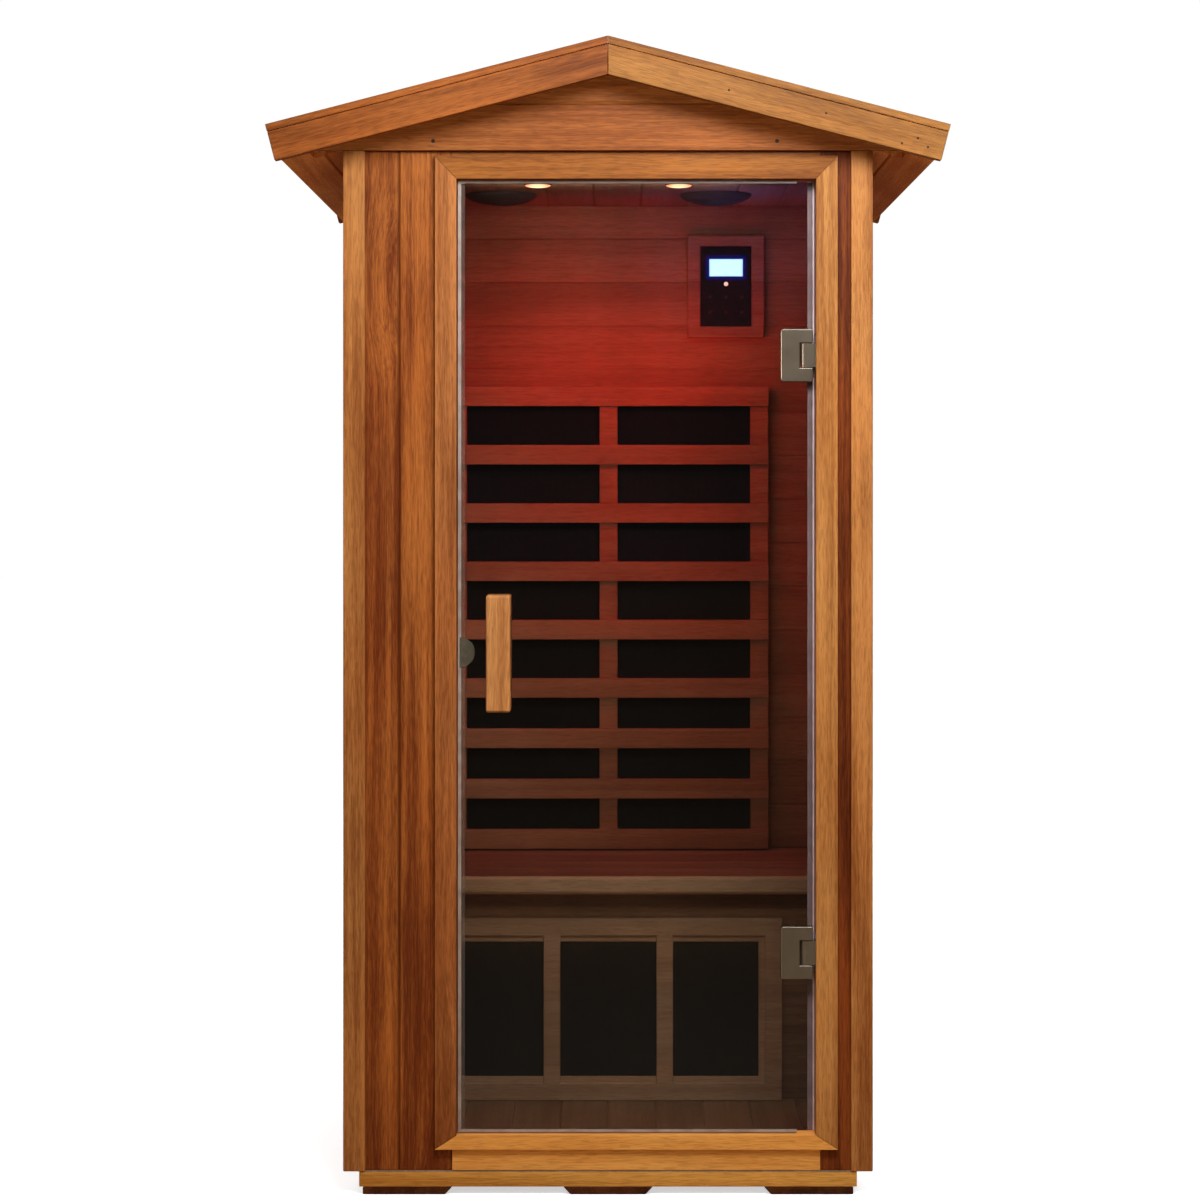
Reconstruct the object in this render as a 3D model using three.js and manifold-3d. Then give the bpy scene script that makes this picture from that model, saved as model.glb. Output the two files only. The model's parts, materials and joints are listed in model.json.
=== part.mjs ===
import * as THREE from "three";
import { mergeVertices } from "three/addons/utils/BufferGeometryUtils.js";
import Module from "manifold-3d";

// Infrared sauna cabin for one person: a timber cabin on skids with a low gable roof, a tinted
// glass door, a bench, and two carbon heaters behind timber guards.
// Millimetres, +Z up. The door faces -Y, and the origin lies on the ground under the ridge's middle.

// Gap left between pieces that seat on each other
const fit = 0.3;

// Skids, plinth and floor
const skidHeight = 13;
const skidWidth = 152;
const skidBevel = 12;
const skidInset = 6;
const plinthHeight = 26;
const plinthSideInset = 27;
const plinthEndInset = 3;
const floorThickness = 8;

// Walls from the outside in, and the boards that they are made of
const trimThickness = 11;
const claddingThickness = 12;
const battenThickness = 12;
const battenWidth = 45;
const liningThickness = 10;
const outerPitch = 90;
const innerPitch = 88;
const grooveWidth = 6;
const grooveDepth = 3;

// Front of the cabin from left to right, and its depth
const postWidth = 37;
const leftPanelWidth = 118.5;
const casingWidth = 37;
const openingWidth = 611;
const rightPanelWidth = 22.5;
const cabinDepth = 900;

// Door frame
const jambThickness = 8;
const baseBoardHeight = 37;
const baseBoardSetback = 8;
const sillFace = 24;
const headFace = 39;
const headReveal = 9;
const headDrop = 44;

// Roof
const roofPitch = 14.5;
const gableEdge = 39;
const gableReach = 50;
const gableBoard = 80;
const eaveReach = 72;
const roofOverhang = 82;
const roofThickness = 12;
const roofBoardPitch = 95;
const bargeDepth = 50;
const bargeThickness = 18;
const bargeSetback = 3;
const eaveInset = 10;
const eaveBoardThickness = 15;
const soffitThickness = 12;
const soffitBoard = 30;
const vergeWidth = 24;

// Bench
const benchHeight = 426;
const benchDepth = 384;
const benchThickness = 36;
const benchPitch = 96;
const benchRound = 6;
const benchNosing = 37;
const benchPanelThickness = 12;
const cleatSize = 22;

// Back heater
const guardRise = 4;
const slatHeight = 39;
const slatThickness = 13;
const stileWidth = 36;
const stileThickness = 20;
const guardMargin = 83.4;
const upperWindowHeight = 78;
const lowerWindowHeight = 62;
const upperRows = 5;
const lowerRows = 3;
const backElementThickness = 8;
const elementMargin = 8;

// Bench heater
const benchWindows = 3;
const benchFrameMargin = 77.4;
const benchMullion = 31;
const benchMiddleExtra = 20;
const benchRail = 32;
const benchLedge = 12;
const benchLedgeDepth = 6;
const benchFrameThickness = 12;
const benchElementThickness = 6;
const benchFrameRise = 1;
const benchFrameDrop = 47;

// Control on the back wall
const controlRise = 100;
const controlDrop = 60;
const controlFromSide = 168;
const surroundSide = 26.5;
const surroundEnd = 22.5;
const surroundThickness = 18;
const panelWidth = 102;
const panelHeight = 161;
const panelRecess = 1;
const displayWidth = 67;
const displayHeight = 34.5;
const displayDrop = 26;
const displayDepth = 2;

// Ceiling, its lights and its speakers
const ceilingThickness = 12;
const ceilingPitch = 92;
const ceilingFirstJoint = -28.5;
const lightRadius = 26;
const lightDrop = 5;
const lightBodyRadius = 21;
const lightBodyHeight = 30;
const lightX = 132;
const lightY = 10;
const speakerRadius = 69.5;
const speakerDrop = 21;
const speakerBodyRadius = 55;
const speakerBodyHeight = 45;
const speakerX = 208;
const speakerY = 192;

// Power box on the ceiling, with its cable gland in the rear gable
const boxWidth = 180;
const boxDepth = 130;
const boxHeight = 55;
const boxFromGable = 35;
const glandRadius = 9;
const glandNut = 13;
const glandNutLength = 8;
const glandReach = 18;

// Glass door and its seals
const glassThickness = 8;
const glassSetback = 22;
const edgeGap = 4.5;
const sealBase = 3;
const sealLeg = 9;
const sealLip = 2;
const sealWall = 1.5;
const sealStop = 15;
const hingeSealWidth = 12;
const hingeSealDepth = 4;

// Hinges: the pin stands in the glass's middle plane, one inset away from the right jamb
const hingeInset = 17;
const upperHingeDrop = 295;
const lowerHingeRise = 303;
const plateReach = 42;
const plateHeight = 90;
const plateThickness = 4.5;
const plateCorner = 3;
const tongueHeight = 40.6;
const tongueGap = 0.7;
const knuckleRadius = 8;
const knuckleGap = 1.5;
const neckThickness = 15.6;
const pinRadius = 3;
const pinGap = 0.08;
const pinSides = 24;
const lugHeight = 12;
const lugWidth = 16;
const notchGap = 2.5;
const flangeThickness = 4;
const flangeWidth = 24;
const flangeHeight = 68;

// Handles, strike plate and catch
const handleWidth = 41;
const handleLength = 198;
const handleFoot = 36;
const fingerDepth = 22;
const gripThickness = 16;
const fingerRound = 12;
const handleChamfer = 2;
const handleFromEdge = 67;
const handleHeight = 819;
const boltSpacing = 160;
const boltHole = 4;
const strikeRadius = 25.5;
const strikeThickness = 3;
const catchReach = 26;
const catchHeight = 34;
const catchDepth = 20;
const catchNose = 7;
const catchGap = 0.5;

// Levels worked out from the ground up
const plinthBottom = skidHeight + fit;
const plinthTop = plinthBottom + plinthHeight;
const wallBottom = plinthTop + fit;
const floorTop = plinthTop + floorThickness;
const benchTop = floorTop + benchHeight;
const guardBottom = benchTop + guardRise;
const rows = upperRows + lowerRows;
const guardHeight =
  (rows + 1) * slatHeight + upperRows * upperWindowHeight + lowerRows * lowerWindowHeight;
const surroundHeight = panelHeight + 2 * surroundEnd;
const controlBottom = guardBottom + guardHeight + controlRise;
const ceilingLevel = controlBottom + surroundHeight + controlDrop;
const openingBottom = wallBottom + baseBoardHeight + fit + sillFace;
const openingTop = ceilingLevel - headDrop;
const wallTop = openingTop + headFace + headReveal;

// Plan worked out from the middle
const cabinWidth = 2 * postWidth + leftPanelWidth + rightPanelWidth + 2 * casingWidth + openingWidth;
const halfWidth = cabinWidth / 2;
const halfDepth = cabinDepth / 2;
const claddingFace = trimThickness + fit;
const battenFace = claddingFace + claddingThickness;
const liningBack = battenFace + battenThickness + fit;
const wallThickness = liningBack + liningThickness;
const insideX = halfWidth - wallThickness;
const insideY = halfDepth - wallThickness;
const openingRight = halfWidth - postWidth - rightPanelWidth - casingWidth;
const openingLeft = openingRight - openingWidth;
const hingeX = openingRight - hingeInset;
const glassY = -halfDepth + glassSetback;
// Depth by which a batten is housed in the boards that it carries
const housing = claddingThickness / 4;

// Finishes
const postTimber = { color: 0xb9824f, roughness: 0.6, metalness: 0 };
const wallTimber = { color: 0x96592c, roughness: 0.65, metalness: 0 };
const roofTimber = { color: 0xbd7440, roughness: 0.6, metalness: 0 };
const insideTimber = { color: 0x9a5638, roughness: 0.7, metalness: 0 };
const skidTimber = { color: 0x44250f, roughness: 0.8, metalness: 0 };
const carbon = { color: 0x171413, roughness: 0.85, metalness: 0 };
const blackPlastic = { color: 0x1a191c, roughness: 0.35, metalness: 0 };
const greyPlastic = { color: 0x7d7b78, roughness: 0.6, metalness: 0 };
const litScreen = { color: 0xdff4ff, roughness: 0.2, metalness: 0, emissive: 0x9fd8ff };
const tintedGlass = { color: 0x3a2a20, roughness: 0.05, metalness: 0, transparent: true, opacity: 0.4 };
const paleSeal = { color: 0xd9d2c6, roughness: 0.5, metalness: 0 };
const nickel = { color: 0x8d8474, roughness: 0.35, metalness: 0.9 };
const magnetPlastic = { color: 0x3b332c, roughness: 0.6, metalness: 0 };

// Turns for an outline that is drawn in two axes and pushed along the third
const alongX = [Math.PI / 2, Math.PI / 2, 0]; // drawn in Y and Z, pushed along +X
const alongY = [Math.PI / 2, 0, 0]; // drawn in X and Z, pushed along -Y

const wasm = await Module();
wasm.setup();

function toSolid(geometry) {
  const bare = new THREE.BufferGeometry();
  const loose = geometry.index ? geometry.toNonIndexed() : geometry;
  bare.setAttribute("position", loose.getAttribute("position"));
  const merged = mergeVertices(bare, 1e-3);
  const mesh = new wasm.Mesh({
    numProp: 3,
    vertProperties: merged.attributes.position.array,
    triVerts: new Uint32Array(merged.index.array),
  });
  return new wasm.Manifold(mesh);
}

function toGeometry(solid) {
  const mesh = solid.getMesh();
  const geometry = new THREE.BufferGeometry();
  geometry.setAttribute("position", new THREE.BufferAttribute(mesh.vertProperties, mesh.numProp));
  geometry.setIndex(new THREE.BufferAttribute(mesh.triVerts, 1));
  return geometry;
}

function join(...geometries) {
  return toGeometry(geometries.map(toSolid).reduce((sum, next) => sum.add(next)));
}

function cut(geometry, ...cutters) {
  return toGeometry(cutters.map(toSolid).reduce((rest, next) => rest.subtract(next), toSolid(geometry)));
}

// A geometry turned and moved, for a join or a cut in its parent's frame.
function placed(geometry, at, turn = [0, 0, 0]) {
  const pose = new THREE.Object3D();
  pose.position.set(...at);
  pose.rotation.set(...turn);
  pose.updateMatrix();
  return geometry.applyMatrix4(pose.matrix);
}

// A rectangular block between two values on each axis.
function block([x0, x1], [y0, y1], [z0, z1]) {
  const box = new THREE.BoxGeometry(x1 - x0, y1 - y0, z1 - z0);
  return placed(box, [(x0 + x1) / 2, (y0 + y1) / 2, (z0 + z1) / 2]);
}

function rod(radius, length, sides = 20) {
  return new THREE.CylinderGeometry(radius, radius, length, sides);
}

// A closed outline of points pushed straight, with round holes given as x, y and radius.
function push(points, length, holes = []) {
  const shape = new THREE.Shape(points.map(([u, v]) => new THREE.Vector2(u, v)));
  for (const [x, y, radius] of holes) {
    shape.holes.push(new THREE.Path().absarc(x, y, radius, 0, 2 * Math.PI));
  }
  return new THREE.ExtrudeGeometry(shape, { depth: length, bevelEnabled: false, curveSegments: 10 });
}

// A profile of radius and height, turned about the upright axis.
function turned(profile, segments = 24) {
  const points = profile.map(([radius, height]) => new THREE.Vector2(radius, height));
  return new THREE.LatheGeometry(points, segments);
}

// Section through boards side by side, with a V-groove in the face at each joint.
function boardSection([from, to], back, face, pitch, joint) {
  const inward = Math.sign(back - face) * grooveDepth;
  const section = [
    [from, back],
    [from, face],
  ];
  const first = joint + Math.ceil((from + grooveWidth - joint) / pitch) * pitch;
  for (let u = first; u < to - grooveWidth; u += pitch) {
    section.push([u - grooveWidth / 2, face], [u, face + inward], [u + grooveWidth / 2, face]);
  }
  section.push([to, face], [to, back]);
  return section;
}

const swapped = ([u, v]) => [v, u];

function addPiece(parent, name, finish, geometry, at = [0, 0, 0], turn = [0, 0, 0]) {
  const mesh = new THREE.Mesh(geometry, new THREE.MeshStandardMaterial(finish));
  mesh.name = name;
  mesh.position.set(...at);
  mesh.rotation.set(...turn);
  parent.add(mesh);
}

function addGroup(parent, at) {
  const group = new THREE.Group();
  group.position.set(...at);
  parent.add(group);
  return group;
}

const cabin = new THREE.Group();

addBase(cabin);
addCornerPosts(cabin);
addSideWalls(cabin);
addBackWall(cabin);
addFrontWall(cabin);
addDoorFrame(cabin);
addCeiling(addGroup(cabin, [0, 0, ceilingLevel]));
addRoof(cabin);
addPowerBox(addGroup(cabin, [0, halfDepth, ceilingLevel + ceilingThickness + fit]));
addBench(addGroup(cabin, [0, insideY, floorTop]));
addBenchHeater(addGroup(cabin, [0, insideY - benchDepth + benchNosing, floorTop]));
addBackHeater(addGroup(cabin, [0, insideY, guardBottom]));
addControl(addGroup(cabin, [insideX - controlFromSide, insideY, controlBottom + surroundHeight / 2]));
addDoor(addGroup(cabin, [hingeX, glassY, openingBottom]));

// Base: three skids from front to rear, sloped on the sides that face a gap, and a plinth with
// the floorboards on it.
function addBase(parent) {
  const plinthX = halfWidth - plinthSideInset;
  const plinthY = halfDepth - plinthEndInset;
  const outer = plinthX - skidInset;
  const skids = [
    ["skid_left", -outer, 0, skidBevel],
    ["skid_middle", -skidWidth / 2, skidBevel, skidBevel],
    ["skid_right", outer - skidWidth, skidBevel, 0],
  ];
  for (const [name, left, leftBevel, rightBevel] of skids) {
    const right = left + skidWidth;
    const section = [
      [left + leftBevel, 0],
      [right - rightBevel, 0],
      [right, skidHeight],
      [left, skidHeight],
    ];
    addPiece(parent, name, skidTimber, push(section, 2 * plinthY), [0, plinthY, 0], alongY);
  }
  const floorX = insideX - fit;
  const floorY = insideY - fit;
  const sunk = plinthTop - plinthHeight / 2;
  const boards = push(boardSection([-floorX, floorX], sunk, floorTop, innerPitch, 0), 2 * floorY);
  const plinth = block([-plinthX, plinthX], [-plinthY, plinthY], [plinthBottom, plinthTop]);
  addPiece(parent, "floor_base", postTimber, join(plinth, placed(boards, [0, floorY, 0], alongY)));
}

// Corner posts: angle sections that cover the ends of the cladding.
function addCornerPosts(parent) {
  const height = wallTop - fit - wallBottom;
  for (const [end, toY] of [["front", -1], ["rear", 1]]) {
    for (const [side, toX] of [["left", -1], ["right", 1]]) {
      const x = toX * halfWidth;
      const y = toY * halfDepth;
      const section = [
        [x, y],
        [x - toX * postWidth, y],
        [x - toX * postWidth, y - toY * trimThickness],
        [x - toX * trimThickness, y - toY * trimThickness],
        [x - toX * trimThickness, y - toY * postWidth],
        [x, y - toY * postWidth],
      ];
      addPiece(parent, `corner_post_${end}_${side}`, postTimber, push(section, height), [0, 0, wallBottom]);
    }
  }
}

// Cladding boards with the battens behind them: a post at each end and three rails.
// The across values run along the wall, and the inside values are the batten faces.
function clad(boards, [from, to], [outside, inside], top, toBlock) {
  const height = top - wallBottom;
  const middle = wallBottom + height / 2;
  const posts = [from, to - battenWidth].map((u) =>
    toBlock([u, u + battenWidth], [outside, inside], [wallBottom, top]),
  );
  const rails = [wallBottom, middle - battenWidth / 2, top - battenWidth].map((z) =>
    toBlock([from, to], [outside, inside], [z, z + battenWidth]),
  );
  return join(boards, ...posts, ...rails);
}

// Side walls: upright cladding that reaches the roof, and a lining of level boards.
function addSideWalls(parent) {
  const roofAtWall = roofUnderside(halfWidth - claddingFace);
  const claddingY = halfDepth - claddingFace;
  const battenY = insideY + liningThickness;
  const liningHeight = [wallBottom, ceilingLevel - fit];
  for (const [side, toX] of [["left", -1], ["right", 1]]) {
    const face = toX * (halfWidth - claddingFace);
    const back = toX * (halfWidth - battenFace);
    const section = boardSection([-claddingY, claddingY], back, face, outerPitch, 0).map(swapped);
    const boards = placed(push(section, roofAtWall - fit - wallBottom), [0, 0, wallBottom]);
    const depth = [halfWidth - battenFace + housing, halfWidth - battenFace - battenThickness];
    const toBlock = (y, [outside, inside], z) =>
      block([Math.min(toX * outside, toX * inside), Math.max(toX * outside, toX * inside)], y, z);
    const wall = clad(boards, [-battenY, battenY], depth, wallTop - fit, toBlock);
    addPiece(parent, `${side}_cladding`, wallTimber, wall);

    const liningFace = toX * insideX;
    const liningSection = boardSection(
      liningHeight,
      liningFace + toX * liningThickness,
      liningFace,
      innerPitch,
      benchTop,
    ).map(swapped);
    const liningY = insideY - fit;
    addPiece(parent, `${side}_lining`, insideTimber, push(liningSection, 2 * liningY), [0, liningY, 0], alongY);
  }
}

// Back wall: cladding between the side walls, and a lining with the cleat that carries the bench.
function addBackWall(parent) {
  const claddingX = halfWidth - battenFace - fit;
  const face = halfDepth - claddingFace;
  const back = halfDepth - battenFace;
  const section = boardSection([-claddingX, claddingX], back, face, outerPitch, outerPitch / 2);
  const boards = placed(push(section, wallTop - fit - wallBottom), [0, 0, wallBottom]);
  const toBlock = (x, [outside, inside], z) => block(x, [inside, outside], z);
  const depth = [back + housing, back - battenThickness];
  const wall = clad(boards, [-claddingX, claddingX], depth, wallTop - fit, toBlock);
  addPiece(parent, "back_cladding", wallTimber, wall);

  const liningX = insideX + liningThickness;
  const liningSection = boardSection(
    [wallBottom, ceilingLevel - fit],
    insideY + liningThickness,
    insideY,
    innerPitch,
    benchTop,
  ).map(swapped);
  const lining = placed(push(liningSection, 2 * liningX), [-liningX, 0, 0], alongX);
  const cleatTop = benchTop - benchThickness - fit;
  const cleatX = insideX - fit;
  const cleat = block(
    [-cleatX, cleatX],
    [insideY - cleatSize, insideY + liningThickness / 2],
    [cleatTop - cleatSize, cleatTop],
  );
  addPiece(parent, "back_lining", insideTimber, join(lining, cleat));
}

// Front wall: a boarded panel left of the door with its lining, a plank and a stud right of it,
// and the base board under the sill.
function addFrontWall(parent) {
  const face = -halfDepth + claddingFace;
  const back = -halfDepth + battenFace;
  const panelTop = wallTop - fit;
  const left = -halfWidth + battenFace + fit;
  const doorLeft = openingLeft - jambThickness - fit;
  const doorRight = openingRight + jambThickness + fit;
  const section = boardSection([left, doorLeft], back, face, outerPitch, doorLeft - outerPitch);
  const boards = placed(push(section, panelTop - wallBottom), [0, 0, wallBottom]);
  const toBlock = (x, [outside, inside], z) => block(x, [outside, inside], z);
  const depth = [back - housing, back + battenThickness];
  const panel = clad(boards, [left, doorLeft], depth, panelTop, toBlock);
  addPiece(parent, "front_left_cladding", wallTimber, panel);

  const liningLeft = -insideX - liningThickness;
  const liningSection = boardSection(
    [wallBottom, ceilingLevel - fit],
    -insideY - liningThickness,
    -insideY,
    innerPitch,
    benchTop,
  ).map(swapped);
  const lining = push(liningSection, doorLeft - liningLeft);
  addPiece(parent, "front_left_lining", insideTimber, lining, [liningLeft, 0, 0], alongX);

  const level = [wallBottom, panelTop];
  const plank = block([doorRight, halfWidth - battenFace - fit], [face, back], level);
  const stud = block([doorRight, insideX + liningThickness], [back - housing, -insideY], level);
  addPiece(parent, "front_right_panel", wallTimber, join(plank, stud));

  const baseBoard = block(
    [openingLeft - jambThickness, openingRight + jambThickness],
    [-halfDepth + baseBoardSetback, -insideY],
    [wallBottom, wallBottom + baseBoardHeight],
  );
  addPiece(parent, "base_board", postTimber, baseBoard);
}

// Door frame: four members with mitred faces and square-cut linings of the opening. The right
// jamb is mortised for the hinge brackets, and the head fills the wall above the opening.
function addDoorFrame(parent) {
  const left = openingLeft - casingWidth;
  const right = openingRight + casingWidth;
  const bottom = openingBottom - sillFace;
  const top = openingTop + headFace;
  const rear = -halfDepth + trimThickness;
  const depth = [rear - trimThickness / 4, -insideY];
  const clearX = [openingLeft + fit, openingRight - fit];
  const clearZ = [openingBottom + fit, openingTop - fit];
  const facing = (points) => placed(push(points, trimThickness), [0, rear, 0], alongY);

  const jambFace = (outer, inner) =>
    facing([
      [outer, bottom + fit],
      [inner, openingBottom + fit],
      [inner, openingTop - fit],
      [outer, top - fit],
    ]);
  const leftLeg = block([openingLeft - jambThickness, openingLeft], depth, clearZ);
  addPiece(parent, "door_jamb_left", postTimber, join(jambFace(left, openingLeft), leftLeg));

  const rightLeg = block([openingRight, openingRight + jambThickness], depth, clearZ);
  const mortises = hingeLevels().map(([, level]) =>
    block(
      [openingRight - flangeThickness, openingRight + flangeThickness + fit],
      [glassY - flangeWidth / 2 - fit, glassY + flangeWidth / 2 + fit],
      [level - flangeHeight / 2 - fit, level + flangeHeight / 2 + fit],
    ),
  );
  const rightJamb = cut(join(jambFace(right, openingRight), rightLeg), ...mortises);
  addPiece(parent, "door_jamb_right", postTimber, rightJamb);

  const headCasing = facing([
    [openingLeft, openingTop],
    [openingRight, openingTop],
    [right, top],
    [left, top],
  ]);
  const headLeg = block(clearX, depth, [openingTop, openingTop + jambThickness]);
  const header = block(
    [openingLeft - jambThickness, openingRight + jambThickness],
    [-halfDepth + claddingFace, -insideY],
    [openingTop, wallTop - fit],
  );
  addPiece(parent, "door_head", postTimber, join(headCasing, headLeg, header));

  const sillCasing = facing([
    [left, bottom],
    [right, bottom],
    [openingRight, openingBottom],
    [openingLeft, openingBottom],
  ]);
  const sillLeg = block(clearX, depth, [bottom, openingBottom]);
  addPiece(parent, "door_sill", postTimber, join(sillCasing, sillLeg));
}

// Ceiling: boards from front to rear on the linings, with two lights and two speakers let in.
function addCeiling(group) {
  const x = insideX + liningThickness;
  const front = -insideY + fit;
  const rear = insideY + liningThickness;
  const section = boardSection([-x, x], ceilingThickness, 0, ceilingPitch, ceilingFirstJoint);
  const boards = placed(push(section, rear - front), [0, rear, 0], alongY);
  const holes = [];
  const domeAngles = [0, 1, 2, 3, 4, 5].map((step) => (step * Math.PI) / 10);
  for (const [side, toX] of [["left", -1], ["right", 1]]) {
    const light = turned([
      [0, -lightDrop],
      [lightRadius - lightDrop, -lightDrop],
      [lightRadius, -lightDrop / 2],
      [lightRadius, -fit],
      [lightBodyRadius, -fit],
      [lightBodyRadius, lightBodyHeight],
      [0, lightBodyHeight],
    ]);
    addPiece(group, `ceiling_light_${side}`, nickel, light, [toX * lightX, lightY, 0], alongY);
    const dome = domeAngles.map((angle) => [
      speakerRadius * Math.sin(angle),
      -fit - (speakerDrop - fit) * Math.cos(angle),
    ]);
    const speaker = turned([
      ...dome,
      [speakerBodyRadius, -fit],
      [speakerBodyRadius, speakerBodyHeight],
      [0, speakerBodyHeight],
    ]);
    addPiece(group, `speaker_${side}`, blackPlastic, speaker, [toX * speakerX, speakerY, 0], alongY);
    const through = 3 * ceilingThickness;
    holes.push(placed(rod(lightBodyRadius + fit, through, 24), [toX * lightX, lightY, 0], alongY));
    holes.push(placed(rod(speakerBodyRadius + fit, through, 24), [toX * speakerX, speakerY, 0], alongY));
  }
  addPiece(group, "ceiling_boards", insideTimber, cut(boards, ...holes));
}

// Height of the roof panel's lower face at a distance from the middle of the cabin.
function roofUnderside(x) {
  const slope = Math.tan(THREE.MathUtils.degToRad(roofPitch));
  return wallTop + gableEdge + (halfWidth + gableReach - Math.abs(x)) * slope + fit;
}

// Roof: gable boards on the end walls, two boarded panels that meet at the ridge, each with an eave
// board and a soffit that reaches the side wall, and barge boards that cover the panels' ends.
function addRoof(parent) {
  const angle = THREE.MathUtils.degToRad(roofPitch);
  const apex = roofUnderside(0) + roofThickness / Math.cos(angle);
  const slopeLength = (halfWidth + gableReach + eaveReach) / Math.cos(angle);
  const roofY = halfDepth + roofOverhang;
  const bargeFront = roofY - bargeSetback;
  const bargeBack = bargeFront - bargeThickness;
  const roof = addGroup(parent, [0, 0, apex]);

  // A point of the right slope, given along the top face from the ridge and square to it downwards.
  const onSlope = (along, down) => [
    along * Math.cos(angle) - down * Math.sin(angle),
    -along * Math.sin(angle) - down * Math.cos(angle),
  ];
  const atX = (x, down) => onSlope((x + down * Math.sin(angle)) / Math.cos(angle), down);
  const atRidge = (down) => atX(fit / 2, down);

  const joints = [];
  for (let along = slopeLength - roofBoardPitch; along > grooveWidth * 2; along -= roofBoardPitch) {
    joints.push(along);
  }
  const groove = (along, face, inward) => [
    onSlope(along + grooveWidth / 2, face),
    onSlope(along, face + inward),
    onSlope(along - grooveWidth / 2, face),
  ];
  const panelSection = [
    atRidge(roofThickness),
    atRidge(0),
    ...joints.toReversed().flatMap((along) => groove(along, 0, grooveDepth).toReversed()),
    onSlope(slopeLength, 0),
    onSlope(slopeLength, roofThickness),
    ...joints.flatMap((along) => groove(along, roofThickness, -grooveDepth)),
  ];
  const vergeSection = [
    atRidge(roofThickness),
    atRidge(0),
    onSlope(slopeLength, 0),
    onSlope(slopeLength, roofThickness),
  ];
  const bargeTop = roofThickness + fit;
  const bargeBottom = bargeTop + bargeDepth;
  const bargeSection = [
    atRidge(bargeBottom),
    atRidge(bargeTop),
    onSlope(slopeLength, bargeTop),
    onSlope(slopeLength, bargeBottom),
  ];
  const eaveEnd = slopeLength - eaveInset;
  const eaveSection = [
    onSlope(eaveEnd, roofThickness / 2),
    onSlope(eaveEnd, bargeBottom),
    onSlope(eaveEnd - eaveBoardThickness, bargeBottom),
    onSlope(eaveEnd - eaveBoardThickness, roofThickness / 2),
  ];
  const soffitTop = bargeBottom - soffitThickness;
  const soffitSection = (from) => [
    atX(from, soffitTop),
    onSlope(eaveEnd - eaveBoardThickness / 2, soffitTop),
    onSlope(eaveEnd - eaveBoardThickness / 2, bargeBottom),
    atX(from, bargeBottom),
  ];
  const gableX = halfWidth + gableReach;
  const eaveY = bargeBack - fit;
  // The soffit's inner edge and half length: past the gable boards, past the posts, to the cladding
  const soffitParts = [
    [gableX + fit, eaveY],
    [halfWidth + fit, halfDepth - trimThickness - fit],
    [halfWidth - claddingFace + fit, halfDepth - postWidth - fit],
  ];
  const soffitJoint = halfWidth + soffitBoard;
  const jointSection = [
    atX(soffitJoint - grooveWidth, bargeBottom + grooveDepth),
    atX(soffitJoint + grooveWidth, bargeBottom + grooveDepth),
    atX(soffitJoint, bargeBottom - grooveDepth),
  ];

  for (const [side, toX] of [["left", -1], ["right", 1]]) {
    const mirrored = (section) => section.map(([x, z]) => [toX * x, z]);
    const lengthwise = (section, reach) =>
      placed(push(mirrored(section), 2 * reach), [0, reach, 0], alongY);
    const verges = [vergeWidth - roofY, roofY].map((y) =>
      placed(push(mirrored(vergeSection), vergeWidth), [0, y, 0], alongY),
    );
    const soffits = soffitParts.map(([from, reach]) => lengthwise(soffitSection(from), reach));
    const panel = join(lengthwise(panelSection, roofY), lengthwise(eaveSection, eaveY), ...verges, ...soffits);
    addPiece(roof, `roof_panel_${side}`, roofTimber, cut(panel, lengthwise(jointSection, eaveY)));
    const barge = () => push(mirrored(bargeSection), bargeThickness);
    addPiece(roof, `barge_front_${side}`, roofTimber, barge(), [0, -bargeBack, 0], alongY);
    addPiece(roof, `barge_rear_${side}`, roofTimber, barge(), [0, bargeFront, 0], alongY);
  }

  const gableSection = [
    [-gableX, wallTop],
    [gableX, wallTop],
    [gableX, roofUnderside(gableX) - fit],
    [0, roofUnderside(0) - fit],
    [-gableX, roofUnderside(gableX) - fit],
  ];
  const jointLevel = wallTop + gableBoard;
  const grooveCut = (y, toY) =>
    placed(
      push(
        [
          [y + toY * grooveDepth, jointLevel - grooveWidth],
          [y + toY * grooveDepth, jointLevel + grooveWidth],
          [y - toY * grooveDepth, jointLevel],
        ],
        2 * gableX,
      ),
      [-gableX, 0, 0],
      alongX,
    );
  const front = placed(push(gableSection, trimThickness), [0, -halfDepth + trimThickness, 0], alongY);
  addPiece(parent, "gable_front", roofTimber, cut(front, grooveCut(-halfDepth, -1)));
  const glandLevel = ceilingLevel + ceilingThickness + fit + boxHeight / 2;
  const rear = push(gableSection, trimThickness, [[0, glandLevel, glandRadius + fit]]);
  const rearBoard = cut(placed(rear, [0, halfDepth, 0], alongY), grooveCut(halfDepth, 1));
  addPiece(parent, "gable_rear", roofTimber, rearBoard);
}

// Power box: it stands on the ceiling boards, with a cable gland through the rear gable.
function addPowerBox(group) {
  const rear = -trimThickness - boxFromGable;
  const middle = boxHeight / 2;
  const box = block([-boxWidth / 2, boxWidth / 2], [rear - boxDepth, rear], [0, boxHeight]);
  const neckStart = rear - boxDepth / 4;
  const neck = placed(rod(glandRadius, glandReach - neckStart), [0, (glandReach + neckStart) / 2, middle]);
  const nut = placed(rod(glandNut, glandNutLength, 6), [0, fit + glandNutLength / 2, middle]);
  addPiece(group, "power_box", greyPlastic, join(box, neck, nut));
}

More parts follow.
